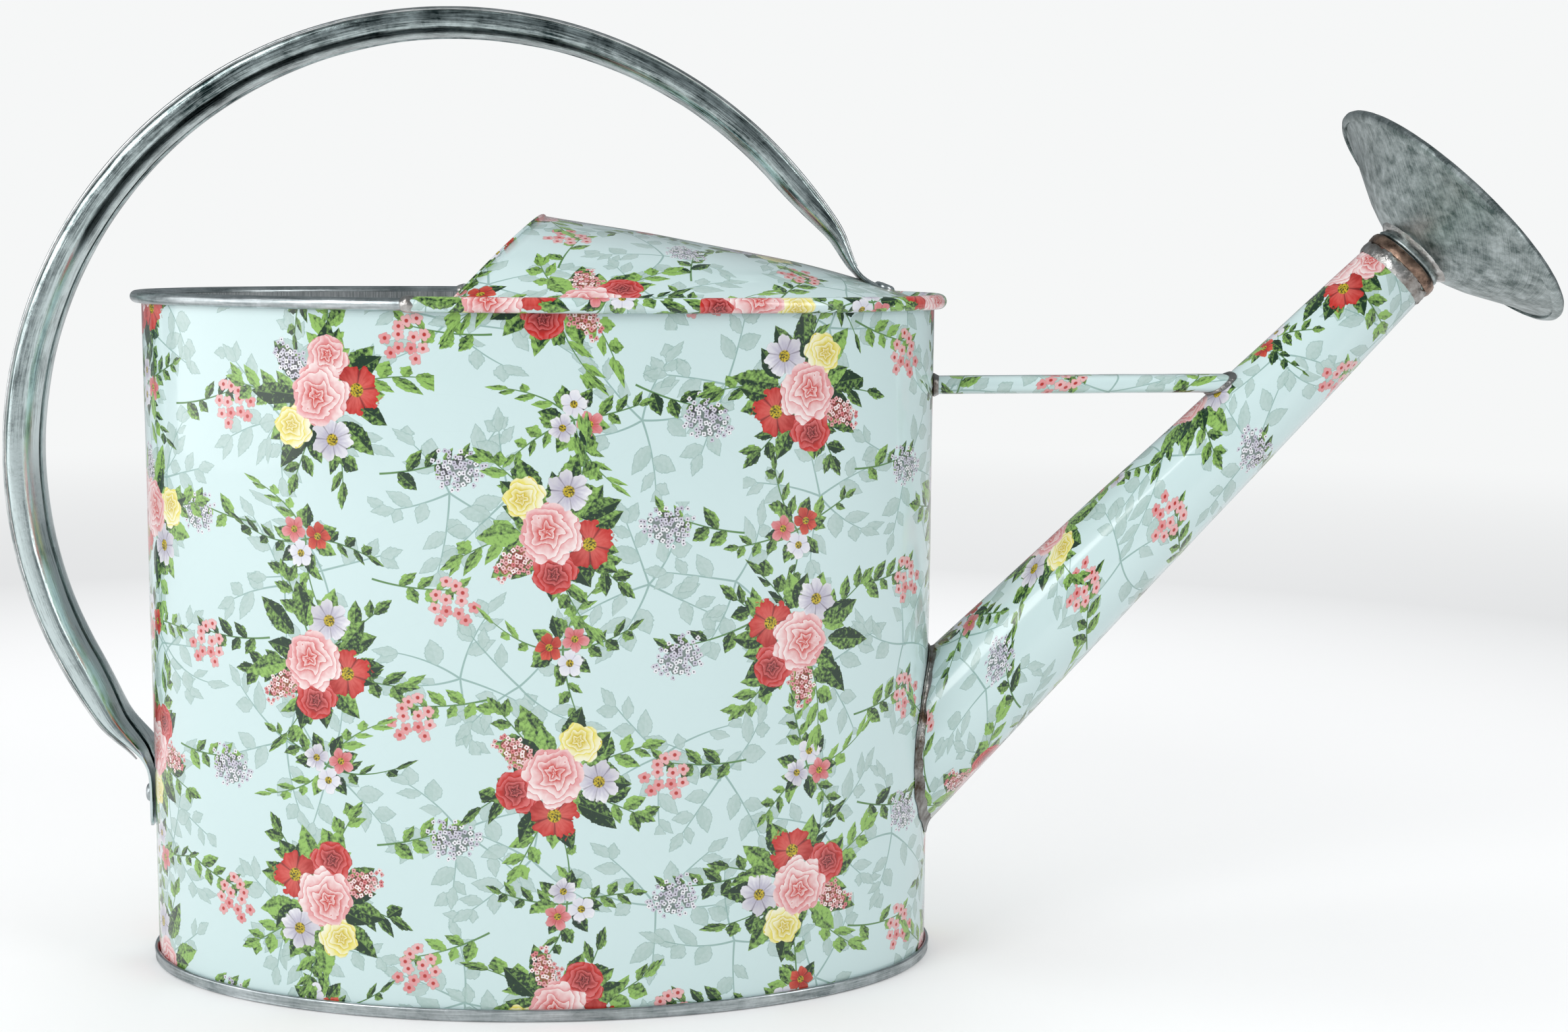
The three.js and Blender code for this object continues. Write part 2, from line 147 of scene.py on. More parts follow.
def roundOval(shape, section, first, sweep=360.0, steps=240, ringClosed=True, **options):
    # carries a section of (offset, height) round the oval
    whole = sweep == 360.0
    rings = []
    for i in range(steps if whole else steps + 1):
        angle = radians(first + sweep * i / steps)
        places = [(ovalPoint(angle, x), z) for x, z in section]
        rings.append([(at.x, at.y, z) for at, z in places])
    return loft(shape, rings, ringClosed=ringClosed, pathClosed=whole, **options)


spout = {"rise": 45.6, "length": 243.0, "rootRadius": 22.3, "tipRadius": 13.1,
         "start": Vector((139.5, 0, 79.3)), "sheet": 0.6, "around": 72, "steps": 60, "clear": 0.15,
         "lap": 0.4, "lapColumns": 3, "uneven": 0.22, "dentSize": 30, "printStart": 17.0, "lumpSize": 2.4}
spoutWay = Vector((cos(radians(spout["rise"])), 0, sin(radians(spout["rise"]))))
spoutUp = Vector((-spoutWay.z, 0, spoutWay.x))


def spoutRadius(along):
    return spout["rootRadius"] + (spout["tipRadius"] - spout["rootRadius"]) * along / spout["length"]


def spoutPoint(angle, along, radius):
    # angle 0 is on the spout's upper side
    outwards = spoutUp * cos(angle) + Vector((0, 1, 0)) * sin(angle)
    return spout["start"] + spoutWay * along + outwards * radius


def outsideOval(point, offset):
    x, y = point.x / (oval["halfLength"] + offset), point.y / (oval["halfWidth"] + offset)
    return x ** 2 + y ** 2 > 1


def spoutRoot(angle, grown=0.0):
    # how far along the spout's line its wall leaves the body at this angle
    near, far = -60.0, 60.0
    for _ in range(halvings):
        middle = (near + far) / 2
        if outsideOval(spoutPoint(angle, middle, spoutRadius(middle) + grown), spout["clear"]):
            far = middle
        else:
            near = middle
    return far


def turned(shape, profile, around, lumps):
    # turns an outline of (radius, distance along the spout) about the spout's line
    rings = []
    for radius, along in profile:
        ring = []
        for i in range(around):
            angle = pi + tau * i / around
            onAxis = radius <= 0.5
            swell = 0.0 if onAxis else wobble(spoutPoint(angle, along, radius), spout["lumpSize"], lumps)
            ring.append(tuple(spoutPoint(angle, along + swell, radius + swell)))
        rings.append(ring)
    return loft(shape, rings, pathClosed=True)


def feed(tree, socket, value):
    if isinstance(value, bpy.types.NodeSocket):
        tree.links.new(value, socket)
    elif value is not None:
        socket.default_value = value


def srgb(red, green, blue):
    # a screen colour of 0 to 255 as the linear colour that sockets hold
    def linear(c):
        c /= 255
        return c / 12.92 if c <= 0.04045 else ((c + 0.055) / 1.055) ** 2.4
    return (linear(red), linear(green), linear(blue), 1.0)


def calculator(tree):
    # calc("ADD", a, b) places one Math node and gives its output
    def calc(operation, *values, clamp=False):
        made = tree.nodes.new("ShaderNodeMath")
        made.operation = operation
        for socket, value in zip(made.inputs, values):
            feed(tree, socket, value)
        if not clamp:
            return made.outputs[0]
        kept = tree.nodes.new("ShaderNodeClamp")  # a node of its own keeps its place in the shader's order
        feed(tree, kept.inputs["Value"], made.outputs[0])
        return kept.outputs[0]
    return calc


def vectorMath(tree, operation, *values):
    made = tree.nodes.new("ShaderNodeVectorMath")
    made.operation = operation
    for socket, value in zip(made.inputs, values):
        feed(tree, socket, value)
    return made.outputs["Value" if operation in ("LENGTH", "DISTANCE", "DOT_PRODUCT") else "Vector"]


def mixColours(tree, amount, under, over):
    made = tree.nodes.new("ShaderNodeMix")
    made.data_type = "RGBA"
    feed(tree, made.inputs["Factor"], amount)
    feed(tree, made.inputs["A"], under)
    feed(tree, made.inputs["B"], over)
    return made.outputs["Result"]


def splitVector(tree, vector):
    # x and y by a dot product each, because a Separate node holds shader room for the z that nothing reads
    return [vectorMath(tree, "DOT_PRODUCT", vector, axis) for axis in ((1, 0, 0), (0, 1, 0))]


def splitColour(tree, color):
    made = tree.nodes.new("ShaderNodeSeparateColor")
    feed(tree, made.inputs["Color"], color)
    return list(made.outputs)


def joinVector(tree, x, y, z=0.0):
    made = tree.nodes.new("ShaderNodeCombineXYZ")
    for socket, value in zip(made.inputs, (x, y, z)):
        feed(tree, socket, value)
    return made.outputs[0]


def noiseAt(tree, vector, scale, detail, dimensions="2D", roughness=0.5):
    made = tree.nodes.new("ShaderNodeTexNoise")
    made.noise_dimensions = dimensions
    feed(tree, made.inputs["Vector"], vector)
    feed(tree, made.inputs["Scale"], scale)
    made.inputs["Detail"].default_value = detail
    made.inputs["Roughness"].default_value = roughness
    return made.outputs[0]


def diceAt(tree, vector, dimensions="3D"):
    # three even random numbers, the same for the same vector
    made = tree.nodes.new("ShaderNodeTexWhiteNoise")
    made.noise_dimensions = dimensions
    feed(tree, made.inputs["Vector"], vector)
    return splitColour(tree, made.outputs["Color"])


def cellsAt(tree, vector, scale, randomness, dimensions="2D"):
    made = tree.nodes.new("ShaderNodeTexVoronoi")
    made.voronoi_dimensions = dimensions
    feed(tree, made.inputs["Vector"], vector)
    feed(tree, made.inputs["Scale"], scale)
    made.inputs["Randomness"].default_value = randomness
    return made.outputs


def turnedBy(tree, vector, angle):
    made = tree.nodes.new("ShaderNodeVectorRotate")
    made.rotation_type = "Z_AXIS"
    feed(tree, made.inputs["Vector"], vector)
    feed(tree, made.inputs["Angle"], angle)
    return made.outputs[0]


def placed(tree, vector, x, y, turn=0.0):
    # the same vector seen from a spot of its own, turned by some degrees
    made = tree.nodes.new("ShaderNodeMapping")
    made.vector_type = "TEXTURE"
    feed(tree, made.inputs["Vector"], vector)
    made.inputs["Location"].default_value = (x, y, 0)
    made.inputs["Rotation"].default_value = (0, 0, radians(turn))
    return made.outputs[0]


def newGroup(name, inputs, outputs):
    tree = bpy.data.node_groups.new(name, "ShaderNodeTree")
    for label, value in inputs.items():
        kind = "Float" if isinstance(value, (int, float)) else "Color" if len(value) == 4 else "Vector"
        socket = tree.interface.new_socket(label, in_out="INPUT", socket_type="NodeSocket" + kind)
        socket.default_value = value
    for label, kind in outputs.items():
        tree.interface.new_socket(label, in_out="OUTPUT", socket_type="NodeSocket" + kind)
    enter = tree.nodes.new("NodeGroupInput")
    leave = tree.nodes.new("NodeGroupOutput")
    return tree, enter.outputs, leave.inputs


def useGroup(tree, group, **values):
    made = tree.nodes.new("ShaderNodeGroup")
    made.node_tree = group
    for label, value in values.items():
        feed(tree, made.inputs[label], value)
    return made.outputs


def putOut(tree, result, **values):
    for label, value in values.items():
        feed(tree, result[label], value)
    return tree


# inks of the print; its motif groups read millimetres on the sheet and put out a colour and a mask
inks = {name: srgb(*value) for name, value in {
    "ground": (214, 236, 236), "ghost": (189, 211, 206), "ghostRim": (142, 177, 170),
    "ghostDark": (175, 201, 194), "stem": (96, 140, 84), "leafDark": (12, 50, 28),
    "leafLight": (150, 194, 98), "white": (244, 244, 248), "snow": (226, 228, 238),
    "blush": (254, 240, 238), "pink": (234, 164, 166), "candy": (234, 160, 164), "shell": (240, 196, 196),
    "rouge": (226, 136, 138), "rosy": (218, 120, 124), "salmon": (226, 120, 120), "berry": (214, 104, 106),
    "poppyHeart": (222, 96, 88), "vermilion": (222, 92, 70), "coral": (206, 62, 52), "brick": (176, 66, 66),
    "cherry": (186, 52, 48), "maroon": (150, 52, 50), "scarlet": (190, 40, 30), "red": (200, 34, 26),
    "wine": (96, 10, 14), "lilac": (196, 192, 210), "mauve": (140, 132, 150), "slate": (84, 80, 92),
    "slateDark": (80, 76, 88), "cream": (252, 250, 226), "butter": (240, 228, 110), "gold": (208, 182, 30),
    "ink": (46, 44, 40), "olive": (74, 70, 22), "singe": (150, 112, 62)}.items()}
motifOut = {"color": "Color", "mask": "Float"}
diceOut = {"vector": "Vector", "pick": "Float", "other": "Float"}
bunchIn = {"vector": (0, 0, 0), "pick": 0.5, "other": 0.5}


def fanGroup():
    # divides the round into equal sectors, each seen along its own middle
    tree, given, result = newGroup("fan", {"vector": (0, 0, 0), "count": 5.0, "seed": 0.0, "jitter": 0.4},
                                   diceOut)
    calc = calculator(tree)
    x, y = splitVector(tree, given["vector"])
    step = calc("DIVIDE", tau, given["count"])
    angle = calc("ARCTAN2", y, x)
    sector = calc("ROUND", calc("DIVIDE", angle, step))
    local = calc("SUBTRACT", angle, calc("MULTIPLY", sector, step))
    own = joinVector(tree, calc("FLOORED_MODULO", sector, given["count"]), given["seed"])
    rolls = diceAt(tree, own, "2D")
    lean = calc("MULTIPLY", calc("MULTIPLY", calc("SUBTRACT", rolls[0], 0.5), given["jitter"]), step)
    local = calc("ADD", local, lean)
    reach = calc("SQRT", calc("ADD", calc("MULTIPLY", x, x), calc("MULTIPLY", y, y)))
    out = joinVector(tree, calc("MULTIPLY", reach, calc("COSINE", local)),
                     calc("MULTIPLY", reach, calc("SINE", local)))
    return putOut(tree, result, vector=out, pick=rolls[1], other=rolls[2])


leafLook = {"ragged": 1.5, "halves": 0.45, "mottled": 2.2, "rib": 0.35, "brush": 0.75, "blunt": 0.8}


def leafGroup():
    # one leaf from the origin along X, its two halves in two tones
    tree, given, result = newGroup(
        "leaf", {"vector": (0, 0, 0), "length": 9.0, "width": 4.5, "tone": 0.5, "light": inks["leafLight"],
                 "dark": inks["leafDark"], "rim": inks["ghostRim"], "rimAmount": 0.0}, motifOut)
    calc = calculator(tree)
    x, y = splitVector(tree, given["vector"])
    along = calc("DIVIDE", x, given["length"], clamp=True)
    bulge = calc("SINE", calc("MULTIPLY", calc("POWER", along, leafLook["blunt"]), pi))
    paint = noiseAt(tree, given["vector"], leafLook["brush"], 2.0)
    ragged = calc("MULTIPLY", calc("MULTIPLY", calc("SUBTRACT", paint, 0.5), leafLook["ragged"]), bulge)
    reach = calc("MULTIPLY", calc("MULTIPLY", given["width"], 0.5), bulge)
    edge = calc("SUBTRACT", calc("ADD", calc("SUBTRACT", reach, calc("ABSOLUTE", y)), ragged), 0.08)
    mask = calc("MULTIPLY_ADD", edge, 5.0, 0.5, clamp=True)
    half = calc("MULTIPLY_ADD", y, 3.0, 0.5, clamp=True)
    shade = calc("ADD", calc("MULTIPLY", half, leafLook["halves"]),
                 calc("MULTIPLY", calc("SUBTRACT", paint, 0.5), leafLook["mottled"]))
    shade = calc("ADD", shade, calc("SUBTRACT", given["tone"], 0.12), clamp=True)
    color = mixColours(tree, shade, given["dark"], given["light"])
    rib = calc("MULTIPLY", calc("MULTIPLY_ADD", calc("ABSOLUTE", y), -5.0, 1.0, clamp=True), leafLook["rib"])
    color = mixColours(tree, rib, color, given["light"])
    band = calc("MULTIPLY", calc("MULTIPLY_ADD", edge, -4.0, 1.6, clamp=True), given["rimAmount"])
    return putOut(tree, result, color=mixColours(tree, band, color, given["rim"]), mask=mask)


sprigLook = {"leafAngle": 48, "missing": 0.12, "tipAt": 0.97, "tipLength": 0.75, "tipWidth": 0.65,
             "stemHalf": 0.36, "stemTaper": -0.16}


def sprigGroup(leaf):
    # a bowed stem from the origin along X with leaves on alternate sides and one at its tip
    tree, given, result = newGroup(
        "sprig", {"vector": (0, 0, 0), "length": 36.0, "pitch": 8.0, "leafLength": 8.5, "leafWidth": 4.2,
                  "bow": 0.008, "tone": 0.4, "stem": inks["stem"], "light": inks["leafLight"],
                  "dark": inks["leafDark"], "rim": inks["ghostRim"], "rimAmount": 0.0, "seed": 0.0}, motifOut)
    calc = calculator(tree)
    x, y = splitVector(tree, given["vector"])
    y = calc("SUBTRACT", y, calc("MULTIPLY", given["bow"], calc("MULTIPLY", x, x)))
    side = calc("GREATER_THAN", y, 0.0)
    across = calc("ABSOLUTE", y)
    slope = radians(sprigLook["leafAngle"])
    shifted = calc("SUBTRACT", x, calc("MULTIPLY", calc("MULTIPLY", side, 0.5), given["pitch"]))
    foot = calc("SUBTRACT", shifted, calc("DIVIDE", across, sin(slope) / cos(slope)))
    number = calc("ROUND", calc("DIVIDE", foot, given["pitch"]))
    fromFoot = calc("SUBTRACT", shifted, calc("MULTIPLY", number, given["pitch"]))
    leafX = calc("ADD", calc("MULTIPLY", fromFoot, cos(slope)), calc("MULTIPLY", across, sin(slope)))
    leafY = calc("SUBTRACT", calc("MULTIPLY", across, cos(slope)), calc("MULTIPLY", fromFoot, sin(slope)))
    rolls = diceAt(tree, joinVector(tree, number, side, given["seed"]))
    share = calc("DIVIDE", calc("MULTIPLY", number, given["pitch"]), given["length"])
    there = calc("MULTIPLY", calc("GREATER_THAN", number, 0.5), calc("LESS_THAN", share, sprigLook["tipAt"]))
    there = calc("MULTIPLY", there, calc("GREATER_THAN", rolls[2], sprigLook["missing"]))
    size = calc("MULTIPLY", calc("MULTIPLY_ADD", share, -0.45, 1.1),
                calc("MULTIPLY_ADD", rolls[0], 0.3, 0.75))
    blade = useGroup(tree, leaf, vector=joinVector(tree, leafX, leafY),
                     length=calc("MULTIPLY", given["leafLength"], size),
                     width=calc("MULTIPLY", given["leafWidth"], size), light=given["light"],
                     dark=given["dark"],
                     tone=calc("ADD", given["tone"], calc("MULTIPLY_ADD", rolls[1], 0.5, -0.25)),
                     rim=given["rim"], rimAmount=given["rimAmount"])
    bladeMask = calc("MULTIPLY", blade["mask"], there)
    thick = calc("MULTIPLY_ADD", calc("DIVIDE", x, given["length"]), sprigLook["stemTaper"],
                 sprigLook["stemHalf"])
    line = calc("MULTIPLY_ADD", calc("SUBTRACT", thick, across), 6.0, 0.5, clamp=True)
    within = calc("MULTIPLY", calc("GREATER_THAN", x, 0.0), calc("LESS_THAN", x, given["length"]))
    line = calc("MULTIPLY", line, within)
    color = mixColours(tree, bladeMask, given["stem"], blade["color"])
    tipX = calc("SUBTRACT", x, calc("MULTIPLY", given["length"], sprigLook["tipAt"]))
    tip = useGroup(tree, leaf, vector=joinVector(tree, tipX, y),
                   length=calc("MULTIPLY", given["leafLength"], sprigLook["tipLength"]),
                   width=calc("MULTIPLY", given["leafWidth"], sprigLook["tipWidth"]), tone=given["tone"],
                   light=given["light"], dark=given["dark"], rim=given["rim"], rimAmount=given["rimAmount"])
    return putOut(tree, result, color=mixColours(tree, tip["mask"], color, tip["color"]),
                  mask=calc("MAXIMUM", calc("MAXIMUM", bladeMask, line), tip["mask"]))


blossomLook = {"brush": 0.32, "uneven": 0.55, "fold": 0.75, "shadow": 0.7, "heart": 0.27}


def blossomGroup():
    # an open flower of a few notched petals round a dark and golden heart
    tree, given, result = newGroup(
        "blossom", {"vector": (0, 0, 0), "radius": 7.0, "petals": 5.0, "notch": 0.25, "outer": inks["white"],
                    "inner": inks["lilac"], "shade": inks["mauve"], "heart": inks["gold"], "seed": 0.0},
        motifOut)
    calc = calculator(tree)
    x, y = splitVector(tree, given["vector"])
    reach = vectorMath(tree, "LENGTH", given["vector"])
    angle = calc("ARCTAN2", y, x)
    petal = calc("ABSOLUTE", calc("COSINE", calc("MULTIPLY", calc("MULTIPLY", angle, given["petals"]), 0.5)))
    shifted = vectorMath(tree, "ADD", given["vector"], joinVector(tree, given["seed"], 0.0))
    rough = noiseAt(tree, shifted, blossomLook["brush"], 2.0)
    lobes = calc("MULTIPLY", calc("SUBTRACT", calc("POWER", petal, 0.5), 1.0), given["notch"])
    size = calc("ADD", calc("ADD", lobes, 1.0),
                calc("MULTIPLY", calc("SUBTRACT", rough, 0.5), blossomLook["uneven"]))
    part = calc("DIVIDE", reach, calc("MULTIPLY", size, given["radius"]))
    mask = calc("MULTIPLY_ADD", calc("MULTIPLY", calc("SUBTRACT", 1.0, part), given["radius"]), 4.0, 0.5,
                clamp=True)
    drawn = joinVector(tree, calc("MULTIPLY", angle, 5.0), calc("MULTIPLY", reach, 0.25), given["seed"])
    streak = noiseAt(tree, drawn, 1.0, 2.0, "3D")
    blend = calc("ADD", calc("MULTIPLY_ADD", part, 1.5, -0.55), calc("MULTIPLY_ADD", streak, 1.5, -0.75),
                 clamp=True)
    color = mixColours(tree, blend, given["inner"], given["outer"])
    fold = calc("MULTIPLY_ADD", petal, -3.2, 1.0, clamp=True)
    lit = calc("MULTIPLY", calc("MULTIPLY_ADD", calc("SUBTRACT", x, y), 0.06, 0.35, clamp=True), streak)
    depth = calc("ADD", calc("MULTIPLY", fold, blossomLook["fold"]),
                 calc("MULTIPLY", lit, blossomLook["shadow"]), clamp=True)
    color = mixColours(tree, depth, color, given["shade"])
    eye = calc("DIVIDE", reach, calc("MULTIPLY", given["radius"], blossomLook["heart"]))
    ring = calc("MULTIPLY_ADD", eye, -5.0, 5.5, clamp=True)
    color = mixColours(tree, ring, color, given["heart"])
    speck = calc("MULTIPLY_ADD", noiseAt(tree, given["vector"], 1.3, 1.0), 5.0, -2.1, clamp=True)
    pupil = calc("MULTIPLY", calc("MULTIPLY_ADD", eye, -4.0, 4.6, clamp=True), speck)
    return putOut(tree, result, color=mixColours(tree, pupil, color, inks["olive"]), mask=mask)


roseLook = {"brush": 0.22, "uneven": 0.35, "heartX": 0.12, "heartY": -0.08, "wraps": 4.4, "crumpled": 1.6,
            "crease": 0.55}


def roseGroup():
    # a full rose: petals wrapped in turns, pale at each edge and deep at each foot
    tree, given, result = newGroup(
        "rose", {"vector": (0, 0, 0), "radius": 10.5, "light": inks["blush"], "mid": inks["pink"],
                 "deep": inks["coral"], "seed": 0.0}, motifOut)
    calc = calculator(tree)
    shifted = vectorMath(tree, "ADD", given["vector"], joinVector(tree, given["seed"], 0.0))
    rough = noiseAt(tree, shifted, roseLook["brush"], 2.0)
    uneven = calc("SUBTRACT", rough, 0.5)
    x, y = splitVector(tree, given["vector"])
    angle = calc("ARCTAN2", y, x)
    outline = calc("MULTIPLY_ADD", calc("ABSOLUTE", calc("COSINE", calc("MULTIPLY", angle, 3.5))), 0.13, 0.87)
    size = calc("ADD", outline, calc("MULTIPLY", uneven, roseLook["uneven"]))
    whole = calc("DIVIDE", calc("DIVIDE", vectorMath(tree, "LENGTH", given["vector"]), given["radius"]), size)
    mask = calc("MULTIPLY_ADD", calc("MULTIPLY", calc("SUBTRACT", 1.0, whole), given["radius"]), 4.0, 0.5,
                clamp=True)
    heart = joinVector(tree, calc("SUBTRACT", x, calc("MULTIPLY", given["radius"], roseLook["heartX"])),
                       calc("SUBTRACT", y, calc("MULTIPLY", given["radius"], roseLook["heartY"])))
    heartX, heartY = splitVector(tree, heart)
    turn = calc("ARCTAN2", heartY, heartX)
    part = calc("DIVIDE", vectorMath(tree, "LENGTH", heart), given["radius"])
    swirl = calc("ABSOLUTE", calc("SINE", calc("MULTIPLY_ADD", part, 3.0, calc("MULTIPLY", turn, 2.5))))
    crossSwirl = calc("ABSOLUTE", calc("SINE", calc("MULTIPLY_ADD", part, -2.0, calc("MULTIPLY", turn, 1.5))))
    wraps = calc("ADD", calc("MULTIPLY", calc("POWER", part, 0.8), roseLook["wraps"]),
                 calc("MULTIPLY", swirl, 0.55))
    wraps = calc("ADD", calc("ADD", wraps, calc("MULTIPLY", crossSwirl, 0.4)),
                 calc("MULTIPLY", uneven, roseLook["crumpled"]))
    rise = calc("FRACT", wraps)
    drawn = joinVector(tree, calc("MULTIPLY", turn, 4.0), calc("MULTIPLY", part, 3.0), given["seed"])
    streak = noiseAt(tree, drawn, 1.0, 2.0, "3D")
    foot = calc("SUBTRACT", 1.0, calc("POWER", rise, 0.55))
    side = calc("MULTIPLY_ADD", calc("SUBTRACT", x, y), 0.022, 0.14)
    tint = calc("ADD", calc("ADD", calc("MULTIPLY", foot, 1.35), side),
                calc("MULTIPLY_ADD", streak, 0.7, -0.35), clamp=True)
    color = mixColours(tree, tint, given["light"], given["mid"])
    inward = calc("MULTIPLY_ADD", part, -1.75, 1.15, clamp=True)
    deepness = calc("MULTIPLY", inward, calc("MULTIPLY_ADD", foot, 1.5, calc("ADD", streak, -0.3)),
                    clamp=True)
    color = mixColours(tree, deepness, color, given["deep"])
    crease = calc("MULTIPLY", calc("MULTIPLY_ADD", rise, -9.0, 1.0, clamp=True), roseLook["crease"])
    return putOut(tree, result, color=mixColours(tree, crease, color, given["deep"]), mask=mask)


clusterLook = {"thinning": 0.4, "border": 1.15, "solid": 0.85}


def clusterGroup():
    # a panicle or umbel of small florets, thinning out at its border
    tree, given, result = newGroup(
        "cluster", {"vector": (0, 0, 0), "length": 17.0, "width": 12.0, "pitch": 1.7, "petals": 4.0,
                    "one": inks["white"], "two": inks["lilac"], "dark": inks["ink"], "seed": 0.0,
                    "backing": 0.8}, motifOut)
    calc = calculator(tree)
    aside = joinVector(tree, calc("MULTIPLY", given["seed"], 37.0), 0.0)
    shifted = vectorMath(tree, "ADD", given["vector"], aside)
    cells = cellsAt(tree, shifted, calc("DIVIDE", 1.0, given["pitch"]), 0.55)
    own = vectorMath(tree, "SUBTRACT", shifted, cells["Position"])
    middle = vectorMath(tree, "SUBTRACT", given["vector"], own)
    dice = splitColour(tree, cells["Color"])
    middleX, middleY = splitVector(tree, middle)
    taper = calc("MULTIPLY_ADD", calc("DIVIDE", middleX, given["length"]), -0.7, 0.85)
    longways = calc("DIVIDE", middleX, calc("MULTIPLY", given["length"], 0.5))
    sideways = calc("DIVIDE", middleY, calc("MULTIPLY", calc("MULTIPLY", given["width"], 0.5), taper))
    out = calc("SQRT", calc("ADD", calc("MULTIPLY", longways, longways),
                            calc("MULTIPLY", sideways, sideways)))
    there = calc("LESS_THAN", calc("ADD", out, calc("MULTIPLY", dice[0], clusterLook["thinning"])),
                 clusterLook["border"])
    ownX, ownY = splitVector(tree, own)
    reach = calc("DIVIDE", vectorMath(tree, "LENGTH", own), given["pitch"])
    turn = calc("ADD", calc("ARCTAN2", ownY, ownX), calc("MULTIPLY", dice[1], 3.0))
    lobes = calc("ABSOLUTE", calc("COSINE", calc("MULTIPLY", calc("MULTIPLY", turn, given["petals"]), 0.5)))
    size = calc("MULTIPLY_ADD", lobes, 0.16, 0.36)
    floret = calc("MULTIPLY_ADD", calc("SUBTRACT", size, reach), 14.0, 0.5, clamp=True)
    color = mixColours(tree, dice[2], given["one"], given["two"])
    dot = calc("MULTIPLY_ADD", reach, -14.0, 2.6, clamp=True)
    color = mixColours(tree, dot, color, given["dark"])
    color = mixColours(tree, floret, given["dark"], color)
    thinned = calc("ADD", out, calc("MULTIPLY", dice[0], clusterLook["thinning"]))
    inner = calc("MULTIPLY", calc("LESS_THAN", thinned, clusterLook["solid"]), given["backing"])
    return putOut(tree, result, color=color, mask=calc("MULTIPLY", calc("MAXIMUM", floret, inner), there))


def latticeGroup():
    # repeats one motif in a half-drop lattice, each copy turned and flipped by its own dice
    tree, given, result = newGroup(
        "lattice", {"vector": (0, 0, 0), "pitchX": 82.0, "pitchY": 82.0, "shiftX": 0.0, "shiftY": 0.0,
                    "seed": 0.0, "spin": 1.0, "loose": 6.0}, diceOut)
    calc = calculator(tree)
    x, y = splitVector(tree, given["vector"])
    x = calc("ADD", x, given["shiftX"])
    column = calc("ROUND", calc("DIVIDE", x, given["pitchX"]))
    drop = calc("MULTIPLY", calc("MULTIPLY", calc("FLOORED_MODULO", column, 2.0), 0.5), given["pitchY"])
    y = calc("ADD", calc("ADD", y, given["shiftY"]), drop)
    row = calc("ROUND", calc("DIVIDE", y, given["pitchY"]))
    rolls = diceAt(tree, joinVector(tree, column, row, given["seed"]))
    localX = calc("SUBTRACT", x, calc("MULTIPLY", column, given["pitchX"]))
    localY = calc("SUBTRACT", y, calc("MULTIPLY", row, given["pitchY"]))
    localX = calc("ADD", localX, calc("MULTIPLY", calc("SUBTRACT", rolls[0], 0.5), given["loose"]))
    localY = calc("ADD", localY, calc("MULTIPLY", calc("SUBTRACT", rolls[1], 0.5), given["loose"]))
    flip = calc("MULTIPLY_ADD", calc("GREATER_THAN", rolls[1], 0.5), 2.0, -1.0)
    flipped = joinVector(tree, calc("MULTIPLY", localX, flip), localY)
    angle = calc("MULTIPLY", calc("MULTIPLY", rolls[2], tau), given["spin"])
    return putOut(tree, result, vector=turnedBy(tree, flipped, angle),
                  pick=calc("FRACT", calc("MULTIPLY", rolls[2], 29.0)), other=rolls[0])


def stack(tree, calc, layers):
    # lays motifs over each other, the first lowest, into one colour and one mask
    color, mask = layers[0]["color"], layers[0]["mask"]
    for layer in layers[1:]:
        color = mixColours(tree, layer["mask"], color, layer["color"])
        mask = calc("MAXIMUM", mask, layer["mask"])
    return color, mask


